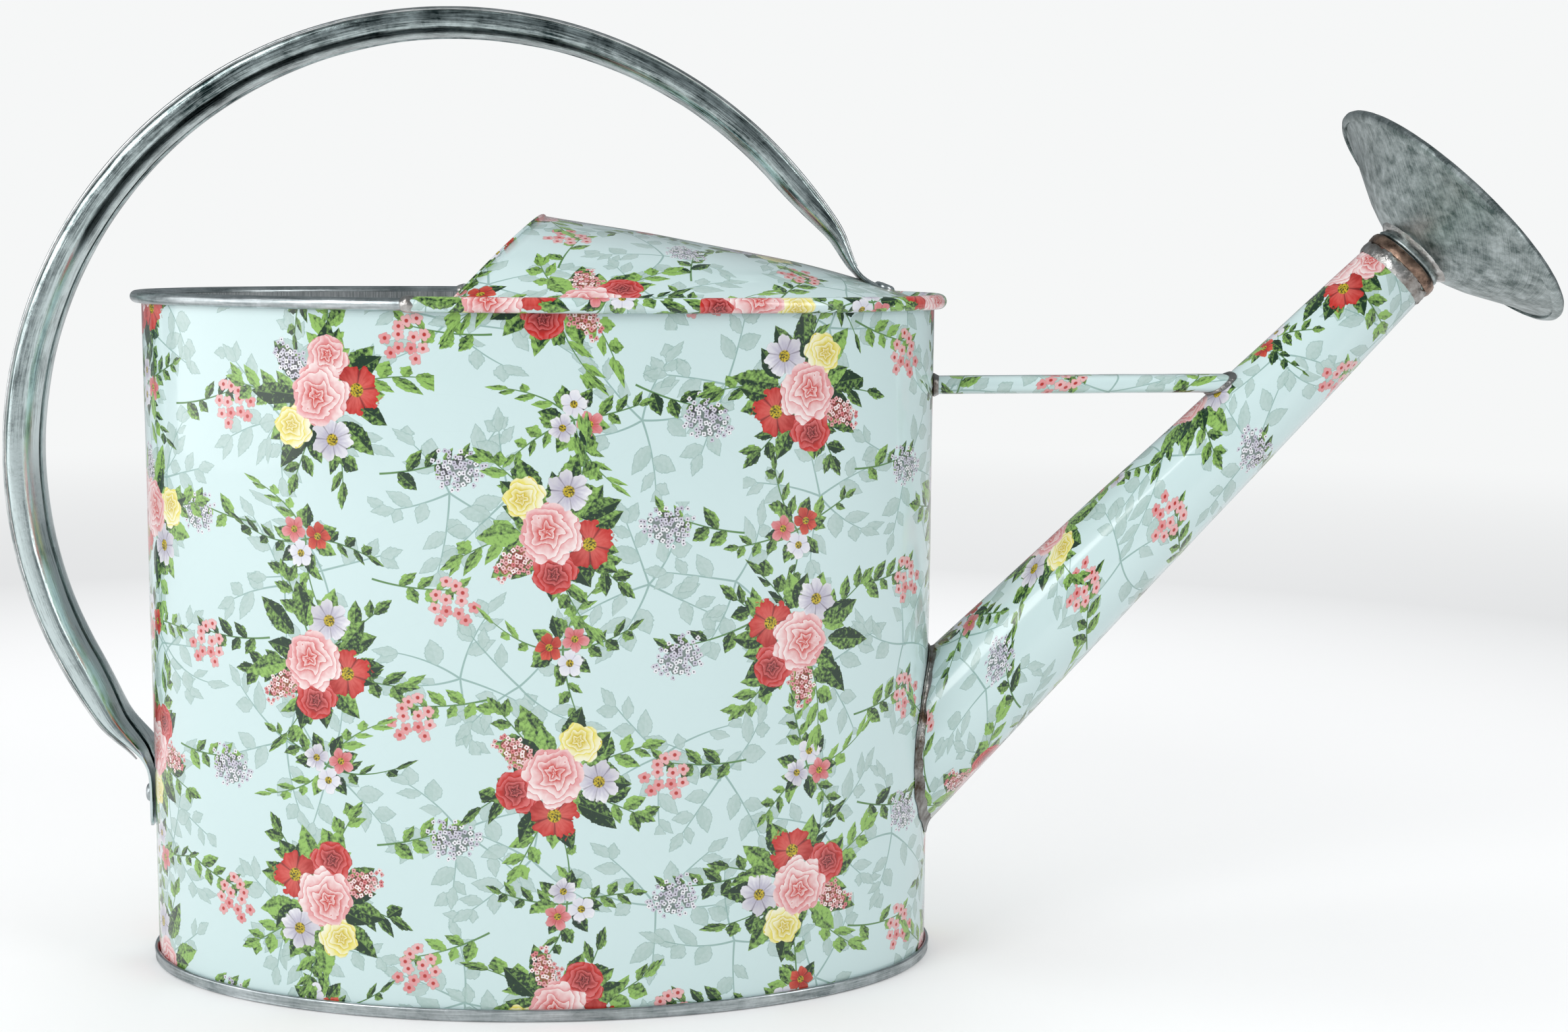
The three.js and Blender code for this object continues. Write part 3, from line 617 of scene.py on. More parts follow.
def bouquetGroup(motifs):
    # the large bunch: leaves and sprigs all round, two roses, a poppy, an anemone, a panicle and, on some,
    # a yellow flower
    tree, given, result = newGroup("bouquet", bunchIn, motifOut)
    calc = calculator(tree)
    at = given["vector"]
    roll = calc("MULTIPLY", given["pick"], 19.0)
    arms = useGroup(tree, motifs["fan"], vector=at, count=5.0, seed=roll, jitter=0.5)
    bowed = calc("MULTIPLY_ADD", arms["other"], 0.03, -0.015)
    sprig = useGroup(tree, motifs["sprig"], vector=arms["vector"], bow=bowed, seed=arms["other"], pitch=6.8,
                     length=calc("MULTIPLY_ADD", arms["pick"], 8.0, 25.0),
                     tone=calc("MULTIPLY", arms["pick"], 0.8),
                     leafLength=11.0, leafWidth=6.0)
    low = useGroup(tree, motifs["fan"], vector=placed(tree, at, 1, -1), count=9.0,
                   seed=calc("ADD", roll, 3.0), jitter=0.5)
    lowLeaf = useGroup(tree, motifs["leaf"], vector=placed(tree, low["vector"], 10.0, 0), width=8.0,
                       length=calc("MULTIPLY_ADD", low["other"], 5.0, 12.5),
                       tone=calc("MULTIPLY_ADD", low["pick"], 1.1, -0.3))
    high = useGroup(tree, motifs["fan"], vector=placed(tree, at, -2, 2, 20), count=7.0,
                    seed=calc("ADD", roll, 7.0), jitter=0.6)
    highLeaf = useGroup(tree, motifs["leaf"], vector=placed(tree, high["vector"], 9.5, 0, 12), width=6.6,
                        length=12.5, tone=calc("ADD", high["pick"], -0.35))
    hue = calc("GREATER_THAN", given["other"], 0.5)
    panicle = useGroup(tree, motifs["cluster"], vector=placed(tree, at, 14.5, 8.5, 35), seed=1.0,
                       one=mixColours(tree, hue, inks["white"], inks["blush"]),
                       two=mixColours(tree, hue, inks["lilac"], inks["rosy"]),
                       dark=mixColours(tree, hue, inks["slate"], inks["maroon"]))
    yellowThere = calc("GREATER_THAN", given["pick"], 0.35)
    yellow = useGroup(tree, motifs["rose"], vector=placed(tree, at, 8.5, -12.0, 40), radius=7.2,
                      light=inks["cream"], mid=inks["butter"], deep=inks["gold"], seed=5.0)
    anemone = useGroup(tree, motifs["blossom"], vector=placed(tree, at, -6.0, -12.5, 15), radius=7.2,
                       petals=7.0, notch=0.3, seed=9.0)
    poppy = useGroup(tree, motifs["blossom"], vector=placed(tree, at, -10.5, 5.5, 50), radius=8.2,
                     notch=0.28, outer=inks["red"], inner=inks["poppyHeart"], shade=inks["wine"], seed=21.0)
    small = useGroup(tree, motifs["rose"], vector=placed(tree, at, 2.0, 13.0, 120), radius=7.6, seed=13.0,
                     light=mixColours(tree, hue, inks["blush"], inks["salmon"]),
                     mid=mixColours(tree, hue, inks["pink"], inks["red"]),
                     deep=mixColours(tree, hue, inks["coral"], inks["wine"]))
    rose = useGroup(tree, motifs["rose"], vector=placed(tree, at, 1.5, 0.5), radius=10.4, seed=2.0)
    yellowNow = {"color": yellow["color"], "mask": calc("MULTIPLY", yellow["mask"], yellowThere)}
    color, mask = stack(tree, calc, [sprig, lowLeaf, highLeaf, panicle, yellowNow, small, anemone, poppy,
                                     rose])
    return putOut(tree, result, color=color, mask=mask)


def posyGroup(motifs):
    # the small bunch: three little open flowers and fine leaves
    tree, given, result = newGroup("posy", bunchIn, motifOut)
    calc = calculator(tree)
    at = given["vector"]
    arms = useGroup(tree, motifs["fan"], vector=at, count=4.0, seed=calc("MULTIPLY", given["pick"], 23.0),
                    jitter=0.5)
    sprig = useGroup(tree, motifs["sprig"], vector=arms["vector"], length=22.0, pitch=5.6, leafLength=7.6,
                     leafWidth=4.0, bow=calc("MULTIPLY_ADD", arms["other"], 0.05, -0.025), seed=arms["pick"],
                     tone=calc("MULTIPLY", arms["other"], 0.7))
    leaves = useGroup(tree, motifs["fan"], vector=at, count=6.0,
                      seed=calc("MULTIPLY", given["pick"], 31.0), jitter=0.6)
    leaf = useGroup(tree, motifs["leaf"], vector=placed(tree, leaves["vector"], 3.5, 0), length=8.6,
                    width=5.0, tone=calc("ADD", leaves["pick"], -0.3))
    rosy = calc("GREATER_THAN", given["other"], 0.45)
    white = useGroup(tree, motifs["blossom"], vector=placed(tree, at, -4.6, 2.2), radius=4.6, notch=0.35,
                     inner=inks["snow"], shade=inks["lilac"], seed=3.0)
    pink = useGroup(tree, motifs["blossom"], vector=placed(tree, at, 3.4, 4.0, 30), radius=4.3, notch=0.35,
                    outer=inks["candy"], inner=inks["berry"], shade=inks["brick"], seed=6.0)
    third = useGroup(tree, motifs["blossom"], vector=placed(tree, at, 0.8, -4.4, 60), radius=4.4, notch=0.35,
                     outer=mixColours(tree, rosy, inks["white"], inks["vermilion"]),
                     inner=mixColours(tree, rosy, inks["lilac"], inks["scarlet"]),
                     shade=mixColours(tree, rosy, inks["mauve"], inks["wine"]), seed=8.0)
    color, mask = stack(tree, calc, [sprig, leaf, white, pink, third])
    return putOut(tree, result, color=color, mask=mask)


def sprayGroup(motifs):
    # a panicle or an umbel at the end of a leafy twig
    tree, given, result = newGroup("spray", bunchIn, motifOut)
    calc = calculator(tree)
    at = given["vector"]
    twig = useGroup(tree, motifs["sprig"], vector=placed(tree, at, -20, -4, 8), length=26.0, pitch=6.2,
                    leafLength=8.8, leafWidth=4.8, bow=0.006, seed=given["pick"],
                    tone=calc("MULTIPLY_ADD", given["other"], 0.8, -0.1))
    kind = calc("GREATER_THAN", given["pick"], 0.5)
    panicle = useGroup(tree, motifs["cluster"], vector=placed(tree, at, 7, 0), length=19.0, width=15.0,
                       pitch=1.75, seed=4.0, dark=inks["slateDark"])
    umbel = useGroup(tree, motifs["cluster"], vector=placed(tree, at, 6, 0), length=19.0, width=19.0,
                     pitch=4.3, petals=5.0, one=inks["shell"], two=inks["rouge"], dark=inks["cherry"],
                     seed=2.0, backing=0.0)
    color = mixColours(tree, kind, panicle["color"], umbel["color"])
    mask = calc("ADD", calc("MULTIPLY", umbel["mask"], kind),
                calc("MULTIPLY", panicle["mask"], calc("SUBTRACT", 1.0, kind)))
    color, mask = stack(tree, calc, [twig, {"color": color, "mask": mask}])
    return putOut(tree, result, color=color, mask=mask)


# how the print repeats, in millimetres; the ghost foliage lies in two plies under the rest
ghostPlies = [{"seed": 3.0, "pitch": 62.0, "shift": 11.0, "arms": 5.0},
              {"seed": 8.0, "pitch": 70.0, "shift": 37.0, "arms": 4.0}]
ghostLook = {"squat": 0.9, "loose": 8.0, "leafLength": 11.0, "leafWidth": 6.2, "pitch": 8.6, "rim": 0.75,
             "strength": 0.85}
repeats = {"spray": {"pitchX": 82.0, "pitchY": 41.0, "shiftX": 41.0, "shiftY": 20.5, "seed": 12.0,
                     "loose": 5.0, "spin": 0.12},
           "posy": {"pitchX": 82.0, "pitchY": 82.0, "shiftX": 0.0, "shiftY": 41.0, "seed": 15.0,
                    "loose": 10.0, "spin": 1.0},
           "bouquet": {"pitchX": 82.0, "pitchY": 82.0, "shiftX": 0.0, "shiftY": 0.0, "seed": 31.0,
                       "loose": 7.0, "spin": 1.0}}


def chintzGroup():
    # the whole print, from its pale ground up to the bouquets
    motifs = {"fan": fanGroup(), "leaf": leafGroup(), "blossom": blossomGroup(), "rose": roseGroup(),
              "cluster": clusterGroup(), "lattice": latticeGroup()}
    motifs["sprig"] = sprigGroup(motifs["leaf"])
    tree, given, result = newGroup("chintz", {"vector": (0, 0, 0)}, {"color": "Color"})
    calc = calculator(tree)
    color = inks["ground"]
    for ply in ghostPlies:
        cell = useGroup(tree, motifs["lattice"], vector=given["vector"], pitchX=ply["pitch"],
                        pitchY=ply["pitch"] * ghostLook["squat"], shiftX=ply["shift"],
                        shiftY=ply["shift"] * 2, seed=ply["seed"], loose=ghostLook["loose"])
        fan = useGroup(tree, motifs["fan"], vector=cell["vector"], count=ply["arms"],
                       seed=calc("MULTIPLY", cell["pick"], 17.0), jitter=0.5)
        ghost = useGroup(tree, motifs["sprig"], vector=fan["vector"],
                         length=calc("MULTIPLY_ADD", fan["pick"], 8.0, 19.0), pitch=ghostLook["pitch"],
                         leafLength=ghostLook["leafLength"], leafWidth=ghostLook["leafWidth"],
                         bow=calc("MULTIPLY_ADD", fan["other"], 0.03, -0.015), seed=fan["other"],
                         stem=inks["ghostRim"], light=inks["ghost"], dark=inks["ghostDark"],
                         rimAmount=ghostLook["rim"])
        strength = calc("MULTIPLY", ghost["mask"], ghostLook["strength"])
        color = mixColours(tree, strength, color, ghost["color"])
    bunches = {"spray": sprayGroup(motifs), "posy": posyGroup(motifs), "bouquet": bouquetGroup(motifs)}
    for name, bunch in bunches.items():
        cell = useGroup(tree, motifs["lattice"], vector=given["vector"], **repeats[name])
        motif = useGroup(tree, bunch, vector=cell["vector"], pick=cell["pick"], other=cell["other"])
        color = mixColours(tree, motif["mask"], color, motif["color"])
    return putOut(tree, result, color=color)


def newMaterial(name, **constants):
    material = bpy.data.materials.new(name)
    material.use_nodes = True
    tree = material.node_tree
    shader = tree.nodes["Principled BSDF"]
    for label, value in constants.items():
        shader.inputs[label.replace("_", " ")].default_value = value
    return material, tree, shader.inputs


def sheetPlace(tree):
    made = tree.nodes.new("ShaderNodeUVMap")
    made.uv_map = "sheetMm"
    return made.outputs[0]


def objectPlace(tree):
    return tree.nodes.new("ShaderNodeTexCoord").outputs["Object"]


def bump(tree, height, distance, strength):
    made = tree.nodes.new("ShaderNodeBump")
    made.inputs["Strength"].default_value = strength
    made.inputs["Distance"].default_value = distance
    feed(tree, made.inputs["Height"], height)
    return made.outputs["Normal"]


def scorchGroup():
    # heat stain round one spot in metres, ragged at its border
    tree, given, result = newGroup("scorch", {"vector": (0, 0, 0), "centre": (0, 0, 0), "reach": 0.02},
                                   {"mask": "Float"})
    calc = calculator(tree)
    away = calc("DIVIDE", vectorMath(tree, "DISTANCE", given["vector"], given["centre"]), given["reach"])
    ragged = noiseAt(tree, given["vector"], 130.0, 3.0, "3D", 0.65)
    level = calc("SUBTRACT", calc("ADD", 0.75, calc("MULTIPLY", calc("SUBTRACT", ragged, 0.5), 2.4)), away)
    return putOut(tree, result, mask=calc("MULTIPLY", level, 2.0, clamp=True))


def wearAndReflectionGroup():
    # worn zinc: drawn streaks along the sheet, dull patches and small scratches; on the handle, whose tones
    # run from dark teal to near white, the same streaks and patches are painted reflections
    tree, given, result = newGroup(
        "wearAndReflection", {"sheet": (0, 0, 0), "place": (0, 0, 0), "streak": 0.5, "patch": 0.5, "grain": 42.0},
        {"tone": "Float", "dull": "Float", "height": "Float"})
    calc = calculator(tree)
    stretched = tree.nodes.new("ShaderNodeMapping")
    feed(tree, stretched.inputs["Vector"], given["sheet"])
    stretched.inputs["Scale"].default_value = (1.0, 0.045, 1.0)
    lines = noiseAt(tree, stretched.outputs[0], 1.6, 4.0, "2D", 0.62)
    patches = noiseAt(tree, given["place"], given["grain"], 5.0, "3D", 0.65)
    grit = noiseAt(tree, given["place"], 620.0, 2.0, "3D", 0.6)
    spangle = splitColour(tree, cellsAt(tree, given["place"], 170.0, 1.0, "3D")["Color"])[0]
    drawn = calc("MULTIPLY", calc("SUBTRACT", lines, 0.5), given["streak"])
    mottled = calc("MULTIPLY", calc("SUBTRACT", patches, 0.5), given["patch"])
    tone = calc("ADD", calc("MULTIPLY_ADD", drawn, 2.6, 0.5), calc("MULTIPLY", mottled, 2.8))
    tone = calc("ADD", tone, calc("MULTIPLY_ADD", spangle, 0.16, calc("MULTIPLY_ADD", grit, 0.4, -0.28)),
                clamp=True)
    dull = calc("ADD", calc("MULTIPLY_ADD", mottled, 1.2, 0.5), drawn, clamp=True)
    return putOut(tree, result, tone=tone, dull=dull,
                  height=calc("ADD", calc("MULTIPLY", lines, 0.7), calc("MULTIPLY", grit, 0.3)))


def spread(tree, value, low, high):
    made = tree.nodes.new("ShaderNodeMapRange")
    feed(tree, made.inputs["Value"], value)
    made.inputs["To Min"].default_value = low
    made.inputs["To Max"].default_value = high
    return made.outputs[0]


scorch = scorchGroup()
wearAndReflection = wearAndReflectionGroup()
chintz = chintzGroup()
print("node groups made")


# lacquered print; the torch has browned it at the handle's front foot and under and over the spout's root,
# given as places and reaches in metres
tin = {"rough": 0.2, "coat": 0.6, "coatRough": 0.025, "browned": 0.55, "waves": 38.0, "peel": 900.0,
       "scorches": [((0.117, 0, 0.2435), 0.024), ((0.142, 0, 0.054), 0.016), ((0.1425, 0, 0.112), 0.010)]}


def printedTin():
    material, tree, shader = newMaterial("printedTin", Roughness=tin["rough"], Coat_Weight=tin["coat"],
                                         Coat_Roughness=tin["coatRough"], IOR=1.5)
    calc = calculator(tree)
    color = useGroup(tree, chintz, vector=sheetPlace(tree))["color"]
    place = objectPlace(tree)
    for centre, reach in tin["scorches"]:
        burnt = useGroup(tree, scorch, vector=place, centre=centre, reach=reach)["mask"]
        color = mixColours(tree, calc("MULTIPLY", burnt, tin["browned"]), color, inks["singe"])
    feed(tree, shader["Base Color"], color)
    waves = noiseAt(tree, place, tin["waves"], 2.0, "3D")
    peel = noiseAt(tree, place, tin["peel"], 1.0, "3D")
    feed(tree, shader["Normal"], bump(tree, calc("ADD", waves, calc("MULTIPLY", peel, 0.02)), 0.0009, 0.35))
    return material


def zincFinish(name, dark, light, streak, patch, rough, grain=42.0, lowerWearAndShine=0.0, metal=1.0):
    # rough is the pair of roughnesses of bright and dull zinc; the lightening of the part near the floor is
    # partly wear and partly a painted reflection
    material, tree, shader = newMaterial(name, Metallic=metal)
    calc = calculator(tree)
    wearAndSheen = useGroup(tree, wearAndReflection, sheet=sheetPlace(tree), place=objectPlace(tree), streak=streak,
                    patch=patch, grain=grain)
    tone = wearAndSheen["tone"]
    # painted reflection with wear: the zinc is lightened below a height
    if lowerWearAndShine:
        height = vectorMath(tree, "DOT_PRODUCT", objectPlace(tree), (0, 0, 1))
        lower = calc("MULTIPLY_ADD", height, -8.0, 2.3, clamp=True)
        tone = calc("MULTIPLY_ADD", lower, lowerWearAndShine, tone, clamp=True)
    feed(tree, shader["Base Color"], mixColours(tree, tone, dark, light))
    feed(tree, shader["Roughness"], spread(tree, wearAndSheen["dull"], rough[0], rough[1]))
    feed(tree, shader["Normal"], bump(tree, wearAndSheen["height"], 0.00018, 0.5))
    return material


def solderFinish(name, dark, light, stained):
    # tin with flow lumps and flux stains
    material, tree, shader = newMaterial(name, Metallic=1.0)
    place = objectPlace(tree)
    flow = noiseAt(tree, place, 330.0, 3.0, "3D", 0.55)
    stain = noiseAt(tree, place, 120.0, 4.0, "3D", 0.65)
    feed(tree, shader["Base Color"], mixColours(tree, spread(tree, stain, *stained), dark, light))
    feed(tree, shader["Roughness"], spread(tree, stain, 0.5, 0.2))
    feed(tree, shader["Normal"], bump(tree, flow, 0.0009, 0.8))
    return material


def scorchedFinish():
    # the mouth ring, browned and coppered by the torch
    material, tree, shader = newMaterial("scorchedRing", Metallic=0.9)
    place = objectPlace(tree)
    heat = noiseAt(tree, place, 210.0, 4.0, "3D", 0.65)
    tone = spread(tree, heat, -0.9, 1.9)
    feed(tree, shader["Base Color"], mixColours(tree, tone, srgb(62, 48, 40), srgb(190, 158, 138)))
    feed(tree, shader["Roughness"], spread(tree, heat, 0.42, 0.18))
    feed(tree, shader["Normal"], bump(tree, heat, 0.0004, 0.5))
    return material


finish = {
    "print": printedTin(),
    # painted reflection: the handle's base colour runs from dark teal to near white along the streaks,
    # standing in for the dark and bright surroundings the zinc mirrors, over its wear
    "zinc": zincFinish("handleZinc", srgb(28, 50, 51), srgb(216, 230, 230), 0.8, 0.8, (0.1, 0.28), 60.0,
                       lowerWearAndShine=0.6),
    # painted highlight: the handle's rolled edges get a lighter copy of the zinc, standing in for the light
    # they catch
    "edge": zincFinish("edgeHighlightZinc", srgb(150, 158, 158), srgb(246, 248, 248), 0.8, 0.4, (0.14, 0.3)),
    "inner": zincFinish("innerZinc", srgb(168, 176, 178), srgb(242, 245, 246), 0.9, 0.4, (0.3, 0.5),
                        metal=0.55),
    "rim": zincFinish("rimZinc", srgb(132, 142, 144), srgb(228, 234, 236), 0.5, 0.6, (0.2, 0.4)),
    "rose": zincFinish("roseZinc", srgb(92, 107, 105), srgb(200, 209, 209), 0.35, 0.9, (0.26, 0.46), 190.0),
    "solder": solderFinish("solder", srgb(96, 80, 68), srgb(236, 236, 234), (-0.5, 1.6)),
    "burnt": solderFinish("burntSolder", srgb(80, 66, 54), srgb(206, 207, 205), (-0.9, 1.5)),
    "ring": scorchedFinish(),
}
print("finishes made")


wall = {"foot": 1.0, "top": 238.0, "sheet": 0.55, "uneven": 0.28, "rows": 40}
bead = {"radius": 2.1, "offset": 1.75, "height": 238.0, "around": 20}
seam = {"height": 4.3, "plate": 0.7, "inset": 6, "outline": [(1.0, 0), (1.45, 0.4), (1.3, 1.2)],
        "roll": 0.75, "rollOffset": 0.95}


def makeWall():
    shape = bmesh.new()
    rows = wall["rows"]
    levels = [(wall["foot"] + (wall["top"] - wall["foot"]) * i / rows, wall["uneven"] * sin(pi * (i / rows)))
              for i in range(rows + 1)]
    outside = [ovalRing(0.0, z, uneven) for z, uneven in levels]
    inside = [ovalRing(-wall["sheet"], z, uneven) for z, uneven in levels[::-1]]
    loft(shape, outside + inside, pathClosed=True, material=lambda i: int(i >= rows))
    return finishPiece("printedWall", shape, [finish["print"], finish["inner"]], "can",
                       ["body_wall"])


def makeRim():
    shape = bmesh.new()
    roundOval(shape, roundSection(bead["radius"], bead["around"], (bead["offset"], bead["height"])), 180)
    return finishPiece("rolledRim", shape, [finish["rim"]], "can", ["rim_wire"])


def makeBase():
    # a folded band outside the wall, rolled at its upper edge, and the flat plate under the can
    shape = bmesh.new()
    roll = roundSection(seam["roll"], 7, (seam["rollOffset"], seam["height"] - seam["roll"]), 180, -180)
    section = [(-seam["inset"], 0)] + seam["outline"] + roll[::-1]
    section += [(0.2, seam["plate"]), (-seam["inset"], seam["plate"])]
    roundOval(shape, section, 180)
    plate = bmesh.ops.create_circle(shape, cap_ends=True, segments=oval["around"], radius=1.0)["verts"]
    overlap = seam["inset"] - 1
    bmesh.ops.scale(shape, vec=(oval["halfLength"] - overlap, oval["halfWidth"] - overlap, 1), verts=plate)
    faces = list({f for v in plate for f in v.link_faces})
    thick = bmesh.ops.extrude_face_region(shape, geom=faces)["geom"]
    raised = [v for v in thick if isinstance(v, bmesh.types.BMVert)]
    bmesh.ops.translate(shape, vec=(0, 0, seam["plate"] - 0.05), verts=raised)
    return finishPiece("foldedBase", shape, [finish["rim"]], "can", ["base_pan"])


makeWall()
makeRim()
makeBase()
print("body made")


hoodShape = {"edge": 236.2, "mouthFoot": 100.7, "lip": 105.0, "lipGap": 0.55, "lipSteps": 150,
             "lipPrint": 300.0, "sheet": 0.5, "rows": 44, "columns": 40, "tuck": 0.9, "uneven": 0.35,
             "dentSize": 34, "hem": 0.62,
             "ridge": [(0.7, 267.1), (50, 259.5), (112, 250.0), (138.9, 236.2)]}
lipDrop = {"length": 3.6, "width": 2.9, "lift": 0.1, "lumpSize": 1.6, "uneven": 0.35}


def bent(t, a, b, c, d):
    # a cubic between a and d, drawn towards b and c
    return (1 - t) ** 3 * a + 3 * (1 - t) ** 2 * t * b + 3 * (1 - t) * t * t * c + t ** 3 * d


def ridgeAt(x):
    # height of the ridge, a cubic from the mouth's peak to the rim
    alongs, heights = zip(*hoodShape["ridge"])
    low, high = 0.0, 1.0
    for _ in range(24):
        t = (low + high) / 2
        low, high = (t, high) if bent(t, *alongs) < x else (low, t)
    return bent(t, *heights)


def hoodRow(share):
    # one line across the vault, from its foot on one side over the ridge to the other
    start = radians(hoodShape["mouthFoot"])
    foot = ovalPoint(start * (1 - share), -hoodShape["tuck"])
    first, last = ovalPoint(start, -hoodShape["tuck"]), ovalPoint(0, -hoodShape["tuck"])
    (startX, _), (endX, _) = hoodShape["ridge"][0], hoodShape["ridge"][3]
    topX = startX + (endX - startX) * (foot.x - first.x) / (last.x - first.x)
    rise = max(ridgeAt(topX) - hoodShape["edge"], 0.02)
    halfSpan = max(foot.y, 0.05)
    radius = (halfSpan ** 2 + rise ** 2) / (2 * rise)
    half = atan2(halfSpan, radius - rise)
    row = []
    for j in range(hoodShape["columns"] + 1):
        lean = half * (2 * j / hoodShape["columns"] - 1)
        z = hoodShape["edge"] + rise - radius * (1 - cos(lean))
        x = foot.x + (topX - foot.x) * (z - hoodShape["edge"]) / rise
        y = radius * sin(lean)
        swell = wobble((x, y, z), hoodShape["dentSize"], hoodShape["uneven"])
        row.append((x, y, z + swell * min(1.0, (z - hoodShape["edge"]) / 6)))
    return row


def makeHood():
    shape = bmesh.new()
    rows = [hoodRow(0.995 * i / hoodShape["rows"]) for i in range(hoodShape["rows"] + 1)]
    loft(shape, rows, ringClosed=False)
    lipRadius = bead["radius"] + hoodShape["lipGap"]
    lip = roundSection(lipRadius, 15, (bead["offset"], bead["height"]), 195, -265)
    lip = [(-hoodShape["tuck"], hoodShape["edge"] - 0.6)] + lip
    roundOval(shape, lip, -hoodShape["lip"], 2 * hoodShape["lip"], hoodShape["lipSteps"], ringClosed=False,
              start=hoodShape["lipPrint"])
    for face in shape.faces:  # the lip faces away from the bead it wraps, the vault upwards
        middle = face.calc_center_median()
        onLip = middle.z < bead["height"] + lipRadius + 0.1 and outsideOval(middle, -hoodShape["tuck"] - 0.05)
        beadAt = ovalPoint(atan2(middle.y * oval["halfLength"], middle.x * oval["halfWidth"]), bead["offset"])
        away = middle - Vector((beadAt.x, beadAt.y, bead["height"])) if onLip else Vector((0, 0, 1))
        if face.normal.dot(away) < 0:
            face.normal_flip()
    piece = finishPiece("printedHood", shape, [finish["print"], finish["inner"]], "can",
                        ["hood"], closed=False)
    wallThickness = piece.modifiers.new("sheet", "SOLIDIFY")
    wallThickness.thickness = hoodShape["sheet"] * millimetre
    wallThickness.offset = -1
    wallThickness.material_offset = 1
    wallThickness.material_offset_rim = 0
    return piece


def makeHem():
    # the hood's mouth is turned under in a narrow hem
    shape = bmesh.new()
    row = [Vector(p) for p in hoodRow(0.0)]
    rings = []
    for i, point in enumerate(row):
        way = (row[min(i + 1, len(row) - 1)] - row[max(i - 1, 0)]).normalized()
        side = way.cross(Vector((-0.7, 0, 0.7))).normalized()
        up = side.cross(way)
        rings.append([tuple(point + side * a + up * b) for a, b in roundSection(hoodShape["hem"], 10)])
    loft(shape, rings, capped=True)
    return finishPiece("hoodHem", shape, [finish["print"]], "can")


def makeLipSolder(side):
    # the drop of solder where the hood's lip ends on the rim
    shape = bmesh.new()
    angle = radians(hoodShape["lip"]) * side
    at = ovalPoint(angle, bead["offset"])
    ahead = (ovalPoint(angle + 0.01 * side) - ovalPoint(angle)).normalized()
    drop = bmesh.ops.create_icosphere(shape, subdivisions=4, radius=1.0)["verts"]
    bmesh.ops.scale(shape, vec=(lipDrop["length"], lipDrop["width"], lipDrop["width"]), verts=drop)
    turn = Matrix.Rotation(atan2(ahead.y, ahead.x), 3, "Z")
    bmesh.ops.rotate(shape, cent=(0, 0, 0), matrix=turn, verts=drop)
    bmesh.ops.translate(shape, vec=(at.x, at.y, bead["height"] + lipDrop["lift"]), verts=drop)
    for vert in drop:
        vert.co += vert.normal * wobble(vert.co, lipDrop["lumpSize"], lipDrop["uneven"])
    name = "lipSolder" + ("Left" if side > 0 else "Right")
    return finishPiece(name, shape, [finish["solder"]], "can")


makeHood()
makeHem()
for side in (1, -1):
    makeLipSolder(side)
print("hood made")


# the arc and the two feet are (along, up) in the can's middle plane; rear and front are the arc's ends in
# degrees; hug is how strongly each foot follows the curve it is riveted to
grip = {"centre": (-29.0, 179.0), "radius": 160.3, "rear": 217.0, "front": 31.5, "arcSteps": 60,
        "rearFoot": [(-142.1, 47.7), (-142.1, 60), (-142.1, 69), (-142.9, 71.8), (-146.3, 74.6),
                     (-151.5, 78.4)],
        "frontFoot": [(110.6, 252.2), (112.3, 248.0), (115.3, 245.9), (123, 242.7), (131.3, 239.4)],
        "step": 2.2, "smoothing": 6, "rearFlat": 23, "frontFlat": 21, "rearHug": 92, "frontHug": 150,
        "depth": 9.7, "width": 25.0, "sheet": 0.6, "footDepth": 1.6, "footWidth": 25.5, "slit": 2.6,
        "swell": 44.0, "squareness": 2.7, "outerSquareness": 5.5, "bead": 0.75, "inset": 1.1,
        "uneven": 0.18, "dentSize": 22}
rivetShape = {"head": 3.3, "dome": 1.25, "spread": 6.2, "dimple": 1.25, "around": 28, "rear": (-142.1, 59.5),
              "front": (122.2, 243.05), "frontOut": (7.3, 0, 18.2)}


def gripLine():
    # the handle's outer line in the can's middle plane, rear foot first, at even steps
    cx, cz = grip["centre"]
    corners = [Vector(p) for p in grip["rearFoot"]]
    for i in range(grip["arcSteps"] + 1):
        angle = radians(grip["rear"] + (grip["front"] - grip["rear"]) * i / grip["arcSteps"])
        corners.append(Vector((cx + grip["radius"] * cos(angle), cz + grip["radius"] * sin(angle))))
    corners += [Vector(p) for p in grip["frontFoot"]]
    even = []
    for a, b in zip(corners, corners[1:]):
        count = max(1, round((b - a).length / grip["step"]))
        even += [a.lerp(b, i / count) for i in range(count)]
    even.append(corners[-1])
    for _ in range(grip["smoothing"]):
        between = [(a + 2 * b + c) / 4 for a, b, c in zip(even, even[1:], even[2:])]
        even = [even[0]] + between + [even[-1]]
    return even


def gripSection(depth, width):
    # a rolled strip, squarish oval, open along a slit on its inner side: (inwards, sideways) pairs
    gap = grip["slit"] / width
    def loop(shrink):
        made = []
        for i in range(37):
            angle = gap + (tau - 2 * gap) * i / 36
            c, s = cos(angle), sin(angle)
            power = 2 / grip["squareness" if c > 0 else "outerSquareness"]
            deep = abs(c) ** power * (1 if c > 0 else -1) * (depth / 2 - shrink)
            wide = abs(s) ** power * (1 if s > 0 else -1) * (width / 2 - shrink)
            made.append((depth / 2 + deep, wide))
        return made
    sheet = min(grip["sheet"], depth * 0.35)
    return loop(0.0) + loop(sheet)[::-1]


